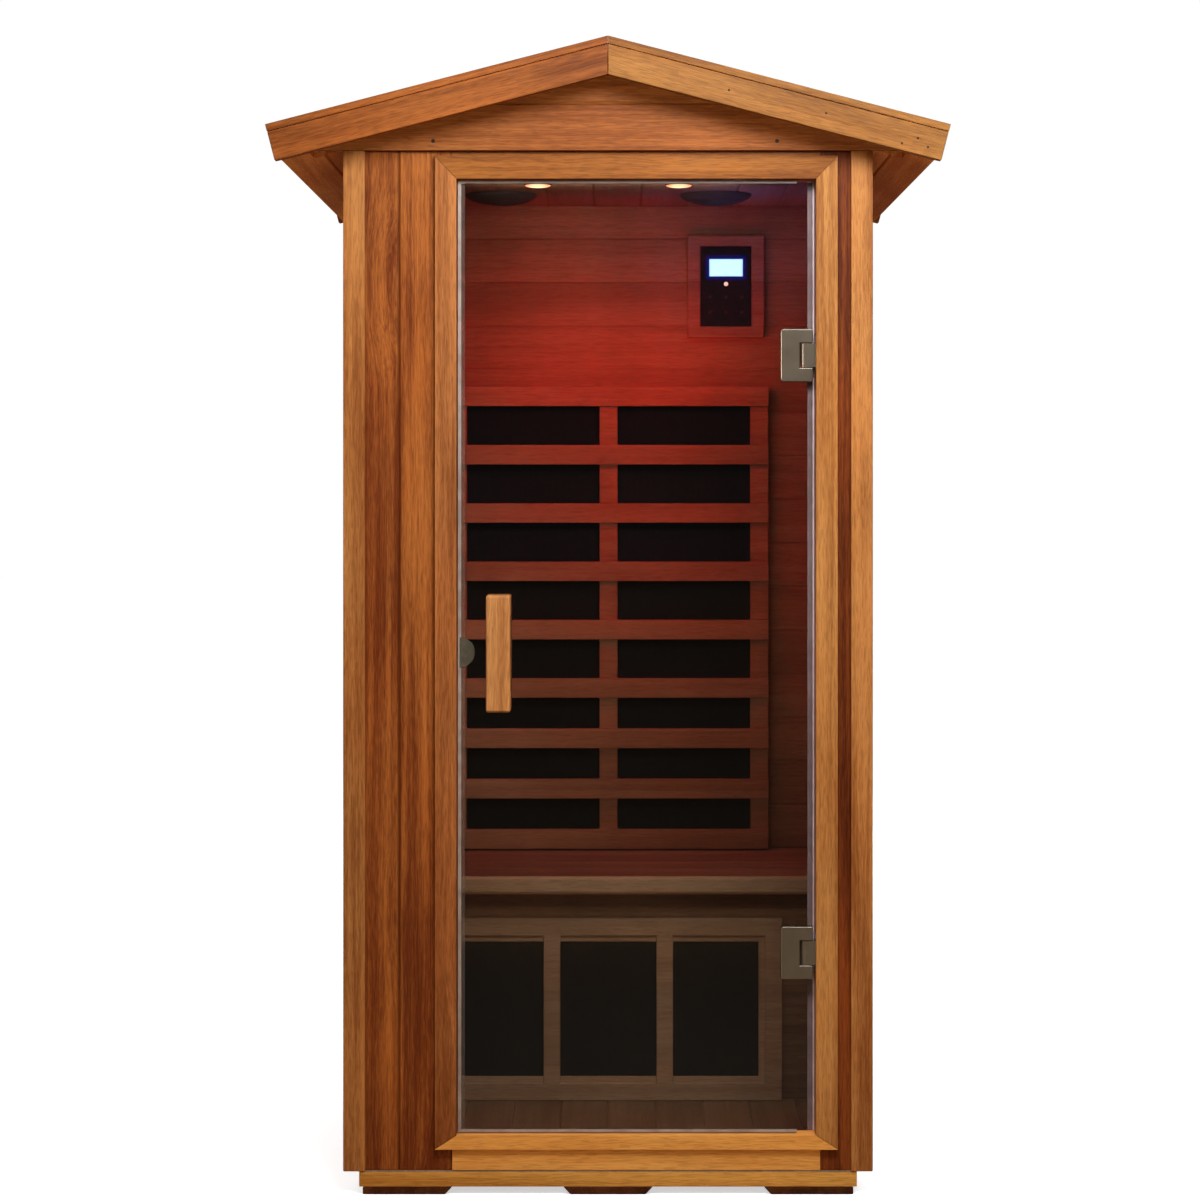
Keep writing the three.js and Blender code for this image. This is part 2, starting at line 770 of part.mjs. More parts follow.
// Bench: a boarded seat with a rounded nosing on a front panel, between the side linings.
function addBench(group) {
  const x = insideX - fit;
  const top = benchHeight;
  const under = benchHeight - benchThickness;
  const front = -benchDepth;
  const face = boardSection([front + benchRound, -fit], under, top, benchPitch, front + benchPitch);
  const section = [
    [front, under + benchRound],
    [front, top - benchRound],
    ...face.slice(1),
    face[0],
  ];
  addPiece(group, "bench_seat", insideTimber, push(section, 2 * x), [-x, 0, 0], alongX);
  const panelFront = front + benchNosing;
  const panel = block([-x, x], [panelFront, panelFront + benchPanelThickness], [fit, under - fit]);
  addPiece(group, "bench_front_panel", insideTimber, panel);
}

// Bench heater: a carbon sheet on the bench's front panel, held by a frame of three windows
// with a ledge inside its outer rails.
function addBenchHeater(group) {
  const rail = benchRail + benchLedge;
  const x = insideX - benchFrameMargin;
  const span = 2 * (x - rail);
  const sideWidth = (span - (benchWindows - 1) * benchMullion - benchMiddleExtra) / benchWindows;
  const bottom = benchFrameRise;
  const top = benchHeight - benchThickness - benchFrameDrop;
  const elementFront = -fit - benchElementThickness;
  const element = block(
    [-x + elementMargin, x - elementMargin],
    [elementFront, -fit],
    [bottom + elementMargin, top - elementMargin],
  );
  addPiece(group, "bench_heater_element", carbon, element);

  const frameBack = elementFront - fit;
  const frameFront = frameBack - benchFrameThickness;
  const cutters = [];
  let left = -span / 2;
  for (let i = 0; i < benchWindows; i++) {
    const isMiddle = i === (benchWindows - 1) / 2;
    const right = left + sideWidth + (isMiddle ? benchMiddleExtra : 0);
    const through = [frameFront - fit, frameBack + fit];
    cutters.push(block([left, right], through, [bottom + rail, top - rail]));
    const ledgeLeft = i === 0 ? left - benchLedge : left;
    const ledgeRight = i === benchWindows - 1 ? right + benchLedge : right;
    cutters.push(
      block(
        [ledgeLeft, ledgeRight],
        [frameFront - fit, frameFront + benchLedgeDepth],
        [bottom + benchRail, top - benchRail],
      ),
    );
    left = right + benchMullion;
  }
  const frame = block([-x, x], [frameFront, frameBack], [bottom, top]);
  addPiece(group, "bench_heater_frame", insideTimber, cut(frame, ...cutters));
}

// Back heater: a carbon sheet on the back lining, with level slats on three upright stiles
// in front of it. The upper windows are taller than the lower ones.
function addBackHeater(group) {
  const width = 2 * (insideX - guardMargin);
  const elementFront = -fit - backElementThickness;
  const element = block(
    [-width / 2 + elementMargin, width / 2 - elementMargin],
    [elementFront, -fit],
    [elementMargin, guardHeight - elementMargin],
  );
  addPiece(group, "back_heater_element", carbon, element);

  const stileBack = elementFront - fit;
  const stileFront = stileBack - stileThickness;
  const stiles = [-1, 0, 1].map((place) => {
    const middle = (place * (width - stileWidth)) / 2;
    const across = [middle - stileWidth / 2, middle + stileWidth / 2];
    return block(across, [stileFront, stileBack], [0, guardHeight]);
  });
  const slats = [];
  let bottom = 0;
  for (let row = 0; row <= rows; row++) {
    const housed = stileFront + slatThickness / 4;
    slats.push(block([-width / 2, width / 2], [housed - slatThickness, housed], [bottom, bottom + slatHeight]));
    bottom += slatHeight + (row < lowerRows ? lowerWindowHeight : upperWindowHeight);
  }
  addPiece(group, "back_heater_guard", insideTimber, join(...stiles, ...slats));
}

// Control: a timber surround on the back lining, a black panel in it and a lit display window.
function addControl(group) {
  const panelX = panelWidth / 2;
  const panelZ = panelHeight / 2;
  const x = panelX + surroundSide;
  const z = surroundHeight / 2;
  const front = -fit - surroundThickness;
  const surround = cut(
    block([-x, x], [front, -fit], [-z, z]),
    block([-panelX - fit, panelX + fit], [front - fit, 0], [-panelZ - fit, panelZ + fit]),
  );
  addPiece(group, "control_surround", insideTimber, surround);

  const panelFront = front + panelRecess;
  const displayTop = panelZ - displayDrop;
  const displayX = displayWidth / 2;
  const windowZ = [displayTop - displayHeight, displayTop];
  const pocket = block(
    [-displayX - fit, displayX + fit],
    [panelFront - fit, panelFront + displayDepth + fit],
    [windowZ[0] - fit, windowZ[1] + fit],
  );
  const panel = block([-panelX, panelX], [panelFront, -fit], [-panelZ, panelZ]);
  addPiece(group, "control_panel", blackPlastic, cut(panel, pocket));
  const display = block([-displayX, displayX], [panelFront, panelFront + displayDepth], windowZ);
  addPiece(group, "display_window", litScreen, display);
}

// Heights of the two hinges' middles above the ground.
function hingeLevels() {
  return [
    ["upper", openingTop - edgeGap - upperHingeDrop],
    ["lower", openingBottom + edgeGap + lowerHingeRise],
  ];
}

// Door: a sheet of glass notched round its hinges, with a push-on edge seal, two pull handles,
// a strike plate, and the catch and the seal that stay on the jambs. The group stands on the
// hinge axis at the bottom of the opening.
function addDoor(group) {
  const left = openingLeft + edgeGap - hingeX;
  const right = hingeInset - edgeGap;
  const bottom = edgeGap;
  const top = openingTop - openingBottom - edgeGap;
  const half = glassThickness / 2;
  const handleX = left + handleFromEdge;
  const levels = hingeLevels().map(([name, level]) => [name, level - openingBottom]);

  const notchLeft = -knuckleRadius - knuckleGap - notchGap;
  const notchHalf = tongueHeight / 2 + tongueGap + lugHeight + notchGap;
  const notches = levels.map(([, z]) =>
    block([notchLeft, hingeInset], [-glassThickness, glassThickness], [z - notchHalf, z + notchHalf]),
  );
  const boltHoles = [-1, 1].map((end) =>
    placed(rod(boltHole, 2 * glassThickness, 12), [handleX, 0, handleHeight + (end * boltSpacing) / 2]),
  );
  const sheet = block([left, right], [-half, half], [bottom, top]);
  addPiece(group, "door_glass", tintedGlass, cut(sheet, ...notches, ...boltHoles));

  const sealY = [-half - fit - sealWall, half + fit + sealWall];
  const sealTop = top + sealBase;
  const sealBottom = bottom - sealBase;
  const sealLeft = left - sealBase;
  const channel = join(
    block([sealLeft, left + sealLeg], sealY, [sealBottom, sealTop]),
    block([sealLeft, -sealStop], sealY, [top - sealLip, sealTop]),
    block([sealLeft, -sealStop], sealY, [sealBottom, bottom + sealLip]),
  );
  const slot = block([left - fit, hingeInset], [-half - fit, half + fit], [bottom - fit, top + fit]);
  const strikeHalf = strikeRadius + fit;
  const strikeRoom = block(
    [left - fit, left + 2 * sealLeg],
    [-glassThickness, glassThickness],
    [handleHeight - strikeHalf, handleHeight + strikeHalf],
  );
  addPiece(group, "door_edge_seal", paleSeal, cut(channel, slot, strikeRoom));

  const behind = hingeInset + catchGap;
  const hingeSeal = block(
    [hingeInset - hingeSealWidth, hingeInset - fit],
    [behind, behind + hingeSealDepth],
    [fit, top + edgeGap - fit],
  );
  addPiece(group, "hinge_side_seal", paleSeal, hingeSeal);

  for (const [name, z] of levels) {
    addHinge(addGroup(group, [0, 0, z]), name, right);
  }
  addHandle(group, "handle_outer", [handleX, -half - fit, handleHeight], -1);
  addHandle(group, "handle_inner", [handleX, half + fit, handleHeight], 1);
  addCatch(addGroup(group, [left, 0, handleHeight]));
}

// Hinge: two plates clamp the glass, the inner one has lugs for the pin, and the bracket's tongue
// reaches from its mortised flange into the plates' notch. The group stands on the pin's middle.
function addHinge(group, name, right) {
  const half = glassThickness / 2;
  const tongue = tongueHeight / 2;
  const notch = tongue + tongueGap;
  const notchLeft = -knuckleRadius - knuckleGap;
  const plateZ = plateHeight / 2;
  const outline = [
    [-plateReach + plateCorner, -plateZ],
    [right, -plateZ],
    [right, -notch],
    [notchLeft, -notch],
    [notchLeft, notch],
    [right, notch],
    [right, plateZ],
    [-plateReach + plateCorner, plateZ],
    [-plateReach, plateZ - plateCorner],
    [-plateReach, plateCorner - plateZ],
  ];
  const plate = (rear) => placed(push(outline, plateThickness), [0, rear, 0], alongY);
  addPiece(group, `${name}_hinge_outer_plate`, nickel, plate(-half - fit));

  const bore = placed(rod(pinRadius + pinGap, 2 * plateHeight, pinSides), [0, 0, 0], alongY);
  const lugs = [-1, 1].map((end) => {
    const from = end > 0 ? notch : -notch - lugHeight;
    return block([-lugWidth / 2, lugWidth / 2], [-half, half + fit + plateThickness / 2], [from, from + lugHeight]);
  });
  const inner = cut(join(plate(half + fit + plateThickness), ...lugs), bore);
  addPiece(group, `${name}_hinge_inner_plate`, nickel, inner);

  const knuckle = placed(rod(knuckleRadius, tongueHeight), [0, 0, 0], alongY);
  const neck = block(
    [0, hingeInset + flangeThickness / 2],
    [-neckThickness / 2, neckThickness / 2],
    [-tongue, tongue],
  );
  const flange = block(
    [hingeInset, hingeInset + flangeThickness],
    [-flangeWidth / 2, flangeWidth / 2],
    [-flangeHeight / 2, flangeHeight / 2],
  );
  addPiece(group, `${name}_hinge_bracket`, nickel, cut(join(knuckle, neck, flange), bore));
  const pinLength = 2 * (notch + lugHeight);
  addPiece(group, `${name}_hinge_pin`, nickel, rod(pinRadius, pinLength, pinSides), [0, 0, 0], alongY);
}

// Pull handle: a timber bar on two feet, hollowed for the fingers, with chamfered edges.
function addHandle(group, name, [x, y, z], outward) {
  const end = handleLength / 2 - handleChamfer;
  const reach = fingerDepth + gripThickness - handleChamfer;
  const foot = handleLength / 2 - handleFoot + handleChamfer;
  const grip = fingerDepth + handleChamfer;
  const near = handleChamfer;
  const shape = new THREE.Shape();
  shape.moveTo(near, -end);
  shape.lineTo(reach - handleChamfer, -end);
  shape.lineTo(reach, handleChamfer - end);
  shape.lineTo(reach, end - handleChamfer);
  shape.lineTo(reach - handleChamfer, end);
  shape.lineTo(near, end);
  shape.lineTo(near, foot);
  shape.lineTo(grip - fingerRound, foot);
  shape.quadraticCurveTo(grip, foot, grip, foot - fingerRound);
  shape.lineTo(grip, fingerRound - foot);
  shape.quadraticCurveTo(grip, -foot, grip - fingerRound, -foot);
  shape.lineTo(near, -foot);
  shape.closePath();
  const bar = new THREE.ExtrudeGeometry(shape, {
    depth: handleWidth - 2 * handleChamfer,
    bevelThickness: handleChamfer,
    bevelSize: handleChamfer,
    bevelSegments: 1,
    curveSegments: 4,
  });
  placed(bar, [handleChamfer - handleWidth / 2, 0, 0], alongX);
  const facing = outward < 0 ? Math.PI : 0;
  addPiece(group, name, postTimber, bar, [x, y, z], [0, 0, facing]);
}

// Strike plate, half a round of steel at the edge of the glass where the seal's legs are cut away,
// and the magnetic catch that holds it, screwed to the left jamb. The group stands at the free edge.
function addCatch(group) {
  const half = glassThickness / 2;
  const round = new THREE.Shape().absarc(0, 0, strikeRadius, -Math.PI / 2, Math.PI / 2);
  const plate = new THREE.ExtrudeGeometry(round, { depth: strikeThickness, bevelEnabled: false, curveSegments: 10 });
  const rear = half + fit + strikeThickness;
  addPiece(group, "strike_plate", nickel, plate, [0, rear, 0], alongY);

  const jamb = -edgeGap + fit;
  const front = rear + catchGap;
  const section = [
    [jamb, front],
    [jamb + catchReach, front],
    [jamb + catchReach, front + catchNose],
    [jamb + catchNose, front + catchDepth],
    [jamb, front + catchDepth],
  ];
  addPiece(group, "magnetic_catch", magnetPlastic, push(section, catchHeight), [0, 0, -catchHeight / 2]);
}

export default cabin;
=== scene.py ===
import json
import math

import bpy
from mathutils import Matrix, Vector

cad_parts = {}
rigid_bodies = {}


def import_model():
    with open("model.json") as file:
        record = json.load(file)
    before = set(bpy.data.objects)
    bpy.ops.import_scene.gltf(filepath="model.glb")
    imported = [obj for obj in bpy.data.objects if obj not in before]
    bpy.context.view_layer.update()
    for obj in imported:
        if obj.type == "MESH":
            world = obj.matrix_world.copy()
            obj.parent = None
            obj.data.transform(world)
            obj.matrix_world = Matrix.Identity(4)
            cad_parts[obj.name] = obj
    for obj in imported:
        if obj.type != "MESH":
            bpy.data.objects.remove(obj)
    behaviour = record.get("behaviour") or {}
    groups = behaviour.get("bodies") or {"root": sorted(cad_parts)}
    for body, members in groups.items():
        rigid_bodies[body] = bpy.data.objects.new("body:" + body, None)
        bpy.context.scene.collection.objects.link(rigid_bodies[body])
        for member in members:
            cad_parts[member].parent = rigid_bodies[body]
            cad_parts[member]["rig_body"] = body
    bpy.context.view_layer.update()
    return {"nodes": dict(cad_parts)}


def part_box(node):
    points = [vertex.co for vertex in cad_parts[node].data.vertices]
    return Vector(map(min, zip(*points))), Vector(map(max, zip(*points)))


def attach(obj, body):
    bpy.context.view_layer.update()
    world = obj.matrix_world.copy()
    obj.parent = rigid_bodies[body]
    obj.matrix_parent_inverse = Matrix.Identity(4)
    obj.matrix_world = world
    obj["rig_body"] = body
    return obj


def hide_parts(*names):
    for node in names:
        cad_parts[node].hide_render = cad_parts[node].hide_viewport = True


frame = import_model()

# Camera: an upright view of the front from about the height of a person's chest, with the lens
# shifted down a little so that the posts stay parallel in the picture.
off_centre = 0.0068
distance = 4.95
chest_height = 1.199
bpy.ops.object.select_all(action="DESELECT")
bpy.ops.object.camera_add(location=(off_centre, -distance, chest_height), rotation=(math.pi / 2, 0, 0))
camera = bpy.context.object
camera.data.sensor_width = 36
camera.data.lens = 79.5
camera.data.shift_x = -0.01
camera.data.shift_y = -0.0925
bpy.context.scene.camera = camera
bpy.context.scene.view_settings.view_transform = "Standard"

# Skids: three sawn bearers from front to rear, stained dark against the damp of the ground.
# Every timber piece is planed stock with its edges broken, so its solid gets a small round on
# each edge, and one grain pattern serves all the timber with its own colours and direction.
planed_edge = 0.0012
broken_edge = 0.002


def paint(red, green, blue):
    """A screen colour from 0 to 255 as the linear colour of a socket."""
    shares = [part / 255 for part in (red, green, blue)]
    linear = [((c + 0.055) / 1.055) ** 2.4 if c > 0.0395 else c / 12.92 for c in shares]
    return (*linear, 1)


def place(tree, kind, sockets=None, **settings):
    """A node with its settings, its values and its links."""
    node = tree.nodes.new(kind)
    for name, value in settings.items():
        setattr(node, name, value)
    for name, value in (sockets or {}).items():
        if isinstance(value, bpy.types.NodeSocket):
            tree.links.new(value, node.inputs[name])
        else:
            node.inputs[name].default_value = value
    return node


def math_of(tree, operation, *values):
    """What a math node makes of its values."""
    return place(tree, "ShaderNodeMath", dict(enumerate(values)), operation=operation).outputs[0]


def vector_of(tree, operation, *values):
    """What a vector math node makes of its values."""
    return place(tree, "ShaderNodeVectorMath", dict(enumerate(values)), operation=operation).outputs[0]


def ramp_of(tree, value, low, high, first=0.0, last=1.0):
    """A value eased from first to last while it goes from low to high."""
    sockets = {"Value": value, "From Min": low, "From Max": high, "To Min": first, "To Max": last}
    return place(tree, "ShaderNodeMapRange", sockets, interpolation_type="SMOOTHSTEP").outputs[0]


def mix_of(tree, factor, first, second):
    """Two colours mixed by a factor."""
    return place(tree, "ShaderNodeMix", {0: factor, 6: first, 7: second}, data_type="RGBA").outputs[2]


def noise_of(tree, vector, stretch, detail=2.0, distortion=0.0):
    """Noise drawn out along the axes and spread over the range from 0 to 1."""
    scaled = vector_of(tree, "MULTIPLY", vector, stretch)
    sockets = {"Vector": scaled, "Scale": 1.0, "Detail": detail, "Roughness": 0.5, "Distortion": distortion}
    noise = place(tree, "ShaderNodeTexNoise", sockets)
    return ramp_of(tree, noise.outputs[0], 0.34, 0.66)


def new_group(name, inputs, outputs):
    """A shader group, with the sockets at its two ends."""
    group = bpy.data.node_groups.new(name, "ShaderNodeTree")
    for socket, kind in inputs:
        group.interface.new_socket(name=socket, in_out="INPUT", socket_type="NodeSocket" + kind)
    for socket, kind in outputs:
        group.interface.new_socket(name=socket, in_out="OUTPUT", socket_type="NodeSocket" + kind)
    return group, group.nodes.new("NodeGroupInput").outputs, group.nodes.new("NodeGroupOutput").inputs


grain, given, made = new_group(
    "TimberGrain",
    [
        ("Vector", "Vector"),
        ("Board", "Float"),
        ("Joint", "Float"),
        ("Spread", "Float"),
        ("Seam", "Float"),
        ("Pale", "Color"),
        ("Dark", "Color"),
    ],
    [("Colour", "Color"), ("Roughness", "Float"), ("Relief", "Float")],
)
# Boards lie side by side along X. Each is cut from its own part of the log, with a dark seam between: a
# dark joint, widened by painted shade for the shadow in its groove.
across = place(grain, "ShaderNodeSeparateXYZ", {0: given["Vector"]}).outputs[0]
boards = math_of(grain, "DIVIDE", math_of(grain, "SUBTRACT", across, given["Joint"]), given["Board"])
from_joint = math_of(grain, "MULTIPLY", math_of(grain, "PINGPONG", boards, 0.5), given["Board"])
seam_shade = math_of(grain, "MULTIPLY", ramp_of(grain, from_joint, 0.001, 0.0042, 1.0, 0.0), given["Seam"])
board = math_of(grain, "FLOOR", boards)
chance = place(grain, "ShaderNodeTexWhiteNoise", {"W": board}, noise_dimensions="1D").outputs
log = vector_of(grain, "MULTIPLY_ADD", chance[1], (3.1, 3.1, 7.7), given["Vector"])
# A few small knots, with the grain bent round them.
knot_cells = vector_of(grain, "MULTIPLY", log, (4.6, 4.6, 1.5))
from_knot = place(grain, "ShaderNodeTexVoronoi", {"Vector": knot_cells, "Scale": 1.0}).outputs[0]
knot = ramp_of(grain, from_knot, 0.02, 0.07, 1.0, 0.0)
swirl = ramp_of(grain, from_knot, 0.0, 0.3, 0.02, 0.0)
bent = vector_of(grain, "ADD", log, swirl)
# The grain itself, from broad shade to fine fibres and pores, drawn out along Z.
shade = noise_of(grain, log, (7, 7, 2.2))
blush = noise_of(grain, log, (12, 12, 2.8))
figure = noise_of(grain, bent, (34, 34, 0.9), 2.0, 0.5)
streak = noise_of(grain, bent, (170, 170, 3.4), 1.0, 0.3)
fibre = noise_of(grain, bent, (600, 600, 36))
pore = ramp_of(grain, noise_of(grain, bent, (480, 480, 40), 0.0), 0.75, 1.0)
tone = math_of(grain, "MULTIPLY", shade, 0.3)
tone = math_of(grain, "MULTIPLY_ADD", figure, 0.34, tone)
tone = math_of(grain, "MULTIPLY_ADD", streak, 0.16, tone)
tone = math_of(grain, "MULTIPLY_ADD", fibre, 0.2, tone)
tone = math_of(grain, "MULTIPLY_ADD", math_of(grain, "SUBTRACT", chance[0], 0.5), given["Spread"], tone)
# The colour goes from dark to pale, is redder in places, and is deep in pores and knots, and in the seams,
# partly as painted shade.
wood_colour = mix_of(grain, ramp_of(grain, tone, 0.0, 1.0), given["Dark"], given["Pale"])
ruddy = vector_of(grain, "MULTIPLY", wood_colour, (1.04, 0.86, 0.7))
wood_colour = mix_of(grain, math_of(grain, "MULTIPLY", blush, 0.45), wood_colour, ruddy)
deep = vector_of(grain, "MULTIPLY", given["Dark"], (0.42, 0.36, 0.34))
blemish_and_seam_shade = math_of(grain, "MULTIPLY_ADD", pore, 0.22, math_of(grain, "MULTIPLY", knot, 0.75))
blemish_and_seam_shade = math_of(grain, "MAXIMUM", blemish_and_seam_shade, seam_shade)
grain.links.new(mix_of(grain, blemish_and_seam_shade, wood_colour, deep), made["Colour"])
grain.links.new(math_of(grain, "MULTIPLY_ADD", fibre, 0.14, 0.44), made["Roughness"])
relief = math_of(grain, "MULTIPLY_ADD", pore, -0.6, math_of(grain, "MULTIPLY", fibre, 0.3))
grain.links.new(relief, made["Relief"])


def new_material(name, **sockets):
    """A material with its shader's plain values set, and its tree, shader and place on the object."""
    material = bpy.data.materials.new(name)
    material.use_nodes = True
    tree = material.node_tree
    shader = tree.nodes["Principled BSDF"]
    for socket, value in sockets.items():
        shader.inputs[socket.replace("_", " ")].default_value = value
    return material, tree, shader, place(tree, "ShaderNodeTexCoord").outputs["Object"]


def emboss(tree, shader, height, depth):
    """Relief of a depth in metres on a shader."""
    bump = place(tree, "ShaderNodeBump", {"Height": height, "Distance": depth, "Strength": 0.5})
    tree.links.new(bump.outputs[0], shader.inputs["Normal"])


def timber(name, pale, dark, turn=(0, 0, 0), board=20.0, joint=10.0, spread=0.0, seam_shade=0.0, gloss=0.06):
    """Timber with its grain along the turned Z axis, in boards side by side along the turned X axis."""
    material, tree, shader, at = new_material(name, Specular_IOR_Level=gloss)
    lying = place(tree, "ShaderNodeMapping", {"Vector": at, "Rotation": turn}).outputs[0]
    layout = {"Vector": lying, "Board": board, "Joint": joint, "Spread": spread, "Seam": seam_shade}
    wood = place(tree, "ShaderNodeGroup", {**layout, "Pale": pale, "Dark": dark}, node_tree=grain).outputs
    tree.links.new(wood["Colour"], shader.inputs["Base Color"])
    tree.links.new(wood["Roughness"], shader.inputs["Roughness"])
    emboss(tree, shader, wood["Relief"], depth=0.0004)
    return material


def pick(piece):
    """A piece selected by itself and active."""
    bpy.ops.object.select_all(action="DESELECT")
    piece.select_set(True)
    bpy.context.view_layer.objects.active = piece


def round_edges(piece, edge, segments):
    """Every edge of a piece rounded to a small radius."""
    pick(piece)
    bevel = piece.modifiers.new("edges", "BEVEL")
    bevel.width = edge
    bevel.segments = segments
    bevel.limit_method = "ANGLE"
    bevel.angle_limit = math.radians(25)
    bpy.ops.object.modifier_apply(modifier="edges")
    bpy.ops.object.mode_set(mode="EDIT")
    bpy.ops.mesh.select_all(action="SELECT")
    bpy.ops.mesh.dissolve_degenerate(threshold=1e-6)
    bpy.ops.object.mode_set(mode="OBJECT")
    bpy.ops.object.shade_smooth_by_angle(angle=math.radians(40))
    piece.modifiers.new("flats", "WEIGHTED_NORMAL").keep_sharp = True
    bpy.ops.object.modifier_apply(modifier="flats")


def settle(piece, finish, body):
    """A finished piece in its material, on its body."""
    piece.data.materials.clear()
    piece.data.materials.append(finish)
    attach(piece, body)
    return piece


def dress(node, finish, edge=planed_edge, segments=2):
    """A solid's own shape with whole faces and rounded edges, in its finish."""
    piece = bpy.data.objects.new(node + "_finish", frame["nodes"][node].data.copy())
    bpy.context.collection.objects.link(piece)
    pick(piece)
    bpy.ops.mesh.customdata_custom_splitnormals_clear()
    bpy.ops.object.mode_set(mode="EDIT")
    bpy.ops.mesh.select_all(action="SELECT")
    bpy.ops.mesh.remove_doubles(threshold=1e-5)
    bpy.ops.mesh.dissolve_limited(angle_limit=math.radians(0.5))
    bpy.ops.object.mode_set(mode="OBJECT")
    round_edges(piece, edge, segments)
    settle(piece, finish, frame["nodes"][node]["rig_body"])
    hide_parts(node)
    return piece


quarter = math.pi / 2
upright_x = (0, 0, 0)
upright_y = (0, 0, quarter)
level_x = (0, quarter, 0)
level_y = (quarter, 0, quarter)
lengthwise = (quarter, 0, 0)
crosswise = (0, quarter, quarter)

skid_finish = timber("skid_stained", paint(92, 46, 22), paint(52, 22, 8), lengthwise)
for side in ("left", "middle", "right"):
    dress("skid_" + side, skid_finish, broken_edge)

# Floor and base board: a plinth of joined boards with the floor laid on it from front to rear,
# and a board on edge that closes the front under the door sill. Both are oiled, not stained.
floor_board = 0.088
floor_variety = 0.15
floor_thickness = 0.009
floor_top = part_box("floor_base")[1].z


def part_finish(piece, finish, wanted):
    """A second finish on the faces of a piece whose middles pass a test."""
    piece.data.materials.append(finish)
    for face in piece.data.polygons:
        face.material_index = 1 if wanted(face.center) else 0


floor_layout = (lengthwise, floor_board, 0, floor_variety)
floor_finish = timber("floor_oiled", paint(160, 124, 90), paint(126, 94, 64), *floor_layout)
plinth_finish = timber("plinth_oiled", paint(216, 152, 70), paint(170, 106, 40), level_x)
base = dress("floor_base", floor_finish)
part_finish(base, plinth_finish, lambda middle: middle.z < floor_top - floor_thickness)
base_finish = timber("base_oiled", paint(230, 160, 78), paint(194, 122, 52), level_x)
dress("base_board", base_finish, broken_edge)

# Corner posts: angle sections worked from solid stock that cover the ends of the cladding, nailed
# from behind, so no fastening shows.
post_edge = 0.0018
post_colours = {
    "left": (paint(180, 115, 59), paint(119, 62, 24)),
    "right": (paint(188, 122, 64), paint(127, 68, 27)),
}
for side, (pale, dark) in post_colours.items():
    post_finish = timber("post_" + side, pale, dark)
    for end in ("front", "rear"):
        dress(f"corner_post_{end}_{side}", post_finish, post_edge)

# Walls outside: tongued and grooved boards that stand upright, darker and more figured than the
# frame, nailed through the tongue to battens behind them.
wall_board = 0.09
front_joint = -0.2658
board_variety = 0.3
groove_shade = 0.6
board_pale = paint(176, 99, 41)
board_dark = paint(98, 40, 12)
board_layouts = {
    "front": (upright_x, wall_board, front_joint),
    "back": (upright_x, wall_board, wall_board / 2),
    "side": (upright_y, wall_board, 0),
}
wall_finish = {
    wall: timber("boards_" + wall, board_pale, board_dark, *layout, board_variety, groove_shade)
    for wall, layout in board_layouts.items()
}
dress("front_left_cladding", wall_finish["front"])
# The narrow panel right of the door is painted darker and redder than the other boards: painted shade for
# its recess beside the door frame.
dress("front_right_panel", timber("boards_narrow_painted_shade", paint(138, 66, 24), paint(72, 26, 7), upright_x))
dress("back_cladding", wall_finish["back"])
dress("left_cladding", wall_finish["side"])
dress("right_cladding", wall_finish["side"])

# Walls inside: level boards of untreated softwood, lighter than the outside, nailed to the same
# battens. The back lining has the cleat that the bench lies on.
lining_board = 0.088
lining_variety = 0.2
bench_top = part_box("bench_seat")[1].z
lining_layout = (lining_board, bench_top, lining_variety)
lining_pale = paint(190, 154, 121)
lining_dark = paint(160, 124, 94)
lining_x = timber("lining_level", lining_pale, lining_dark, level_x, *lining_layout)
dress("back_lining", lining_x)
dress("front_left_lining", lining_x)
lining_y = timber("lining_side", paint(162, 114, 92), paint(136, 92, 71), level_y, *lining_layout)
dress("left_lining", lining_y)
dress("right_lining", lining_y)

# Door frame: four members of the same timber as the posts, mitred at the corners, each a flat
# face on the wall with a lining of the opening glued behind it.
head_finish = timber("frame_oiled_level", paint(160, 96, 39), paint(104, 54, 18), level_x)
dress("door_jamb_left", timber("jamb_left", paint(178, 107, 55), paint(114, 57, 22)), post_edge)
dress("door_jamb_right", timber("jamb_right", paint(190, 127, 66), paint(136, 78, 34)), post_edge)
dress("door_head", head_finish, post_edge)
dress("door_sill", base_finish, post_edge)

# Ceiling: boards of the same softwood as the linings, laid from front to rear on their top edges
# and nailed down. They are cut out for the two lights and the two speakers.
ceiling_board = 0.092
ceiling_joint = -0.0285
mixed_variety = 0.35
ceiling_layout = (lengthwise, ceiling_board, ceiling_joint, mixed_variety)
dress("ceiling_boards", timber("ceiling_boards", lining_pale, lining_dark, *ceiling_layout))

# Roof: two slopes of boards from front to rear, the barge boards that cover their ends, and the
# gable boards on the end walls. Sawn at the pitch of the roof and face-nailed.
pitch = math.radians(14.5)
roof_board = 0.095 * math.cos(pitch)
roof_groove_shade = 0.4
roof_gloss = 0.01
verge = 0.0245
roof_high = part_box("roof_panel_right")[1]
# The roof boards are painted paler than the barge boards: painted light that brightens their undersides in
# the shade of the eaves.
lit_slope_pale = paint(240, 160, 92)
lit_slope_dark = paint(190, 106, 54)
slopes = {
    "left": (quarter + pitch, -roof_high.x, paint(160, 88, 36), paint(96, 46, 15)),
    "right": (quarter - pitch, roof_high.x, paint(160, 105, 50), paint(106, 62, 25)),
}
for side, (slope, eave, pale, dark) in slopes.items():
    barge_finish = timber("barge_" + side, pale, dark, (0, slope, 0))
    dress("barge_front_" + side, barge_finish, broken_edge)
    dress("barge_rear_" + side, barge_finish, broken_edge)
    layout = (lengthwise, roof_board, eave, board_variety, roof_groove_shade, roof_gloss)
    roof = dress("roof_panel_" + side, timber("roof_boards_" + side, lit_slope_pale, lit_slope_dark, *layout))
    part_finish(roof, barge_finish, lambda middle: abs(middle.y) > roof_high.y - verge)
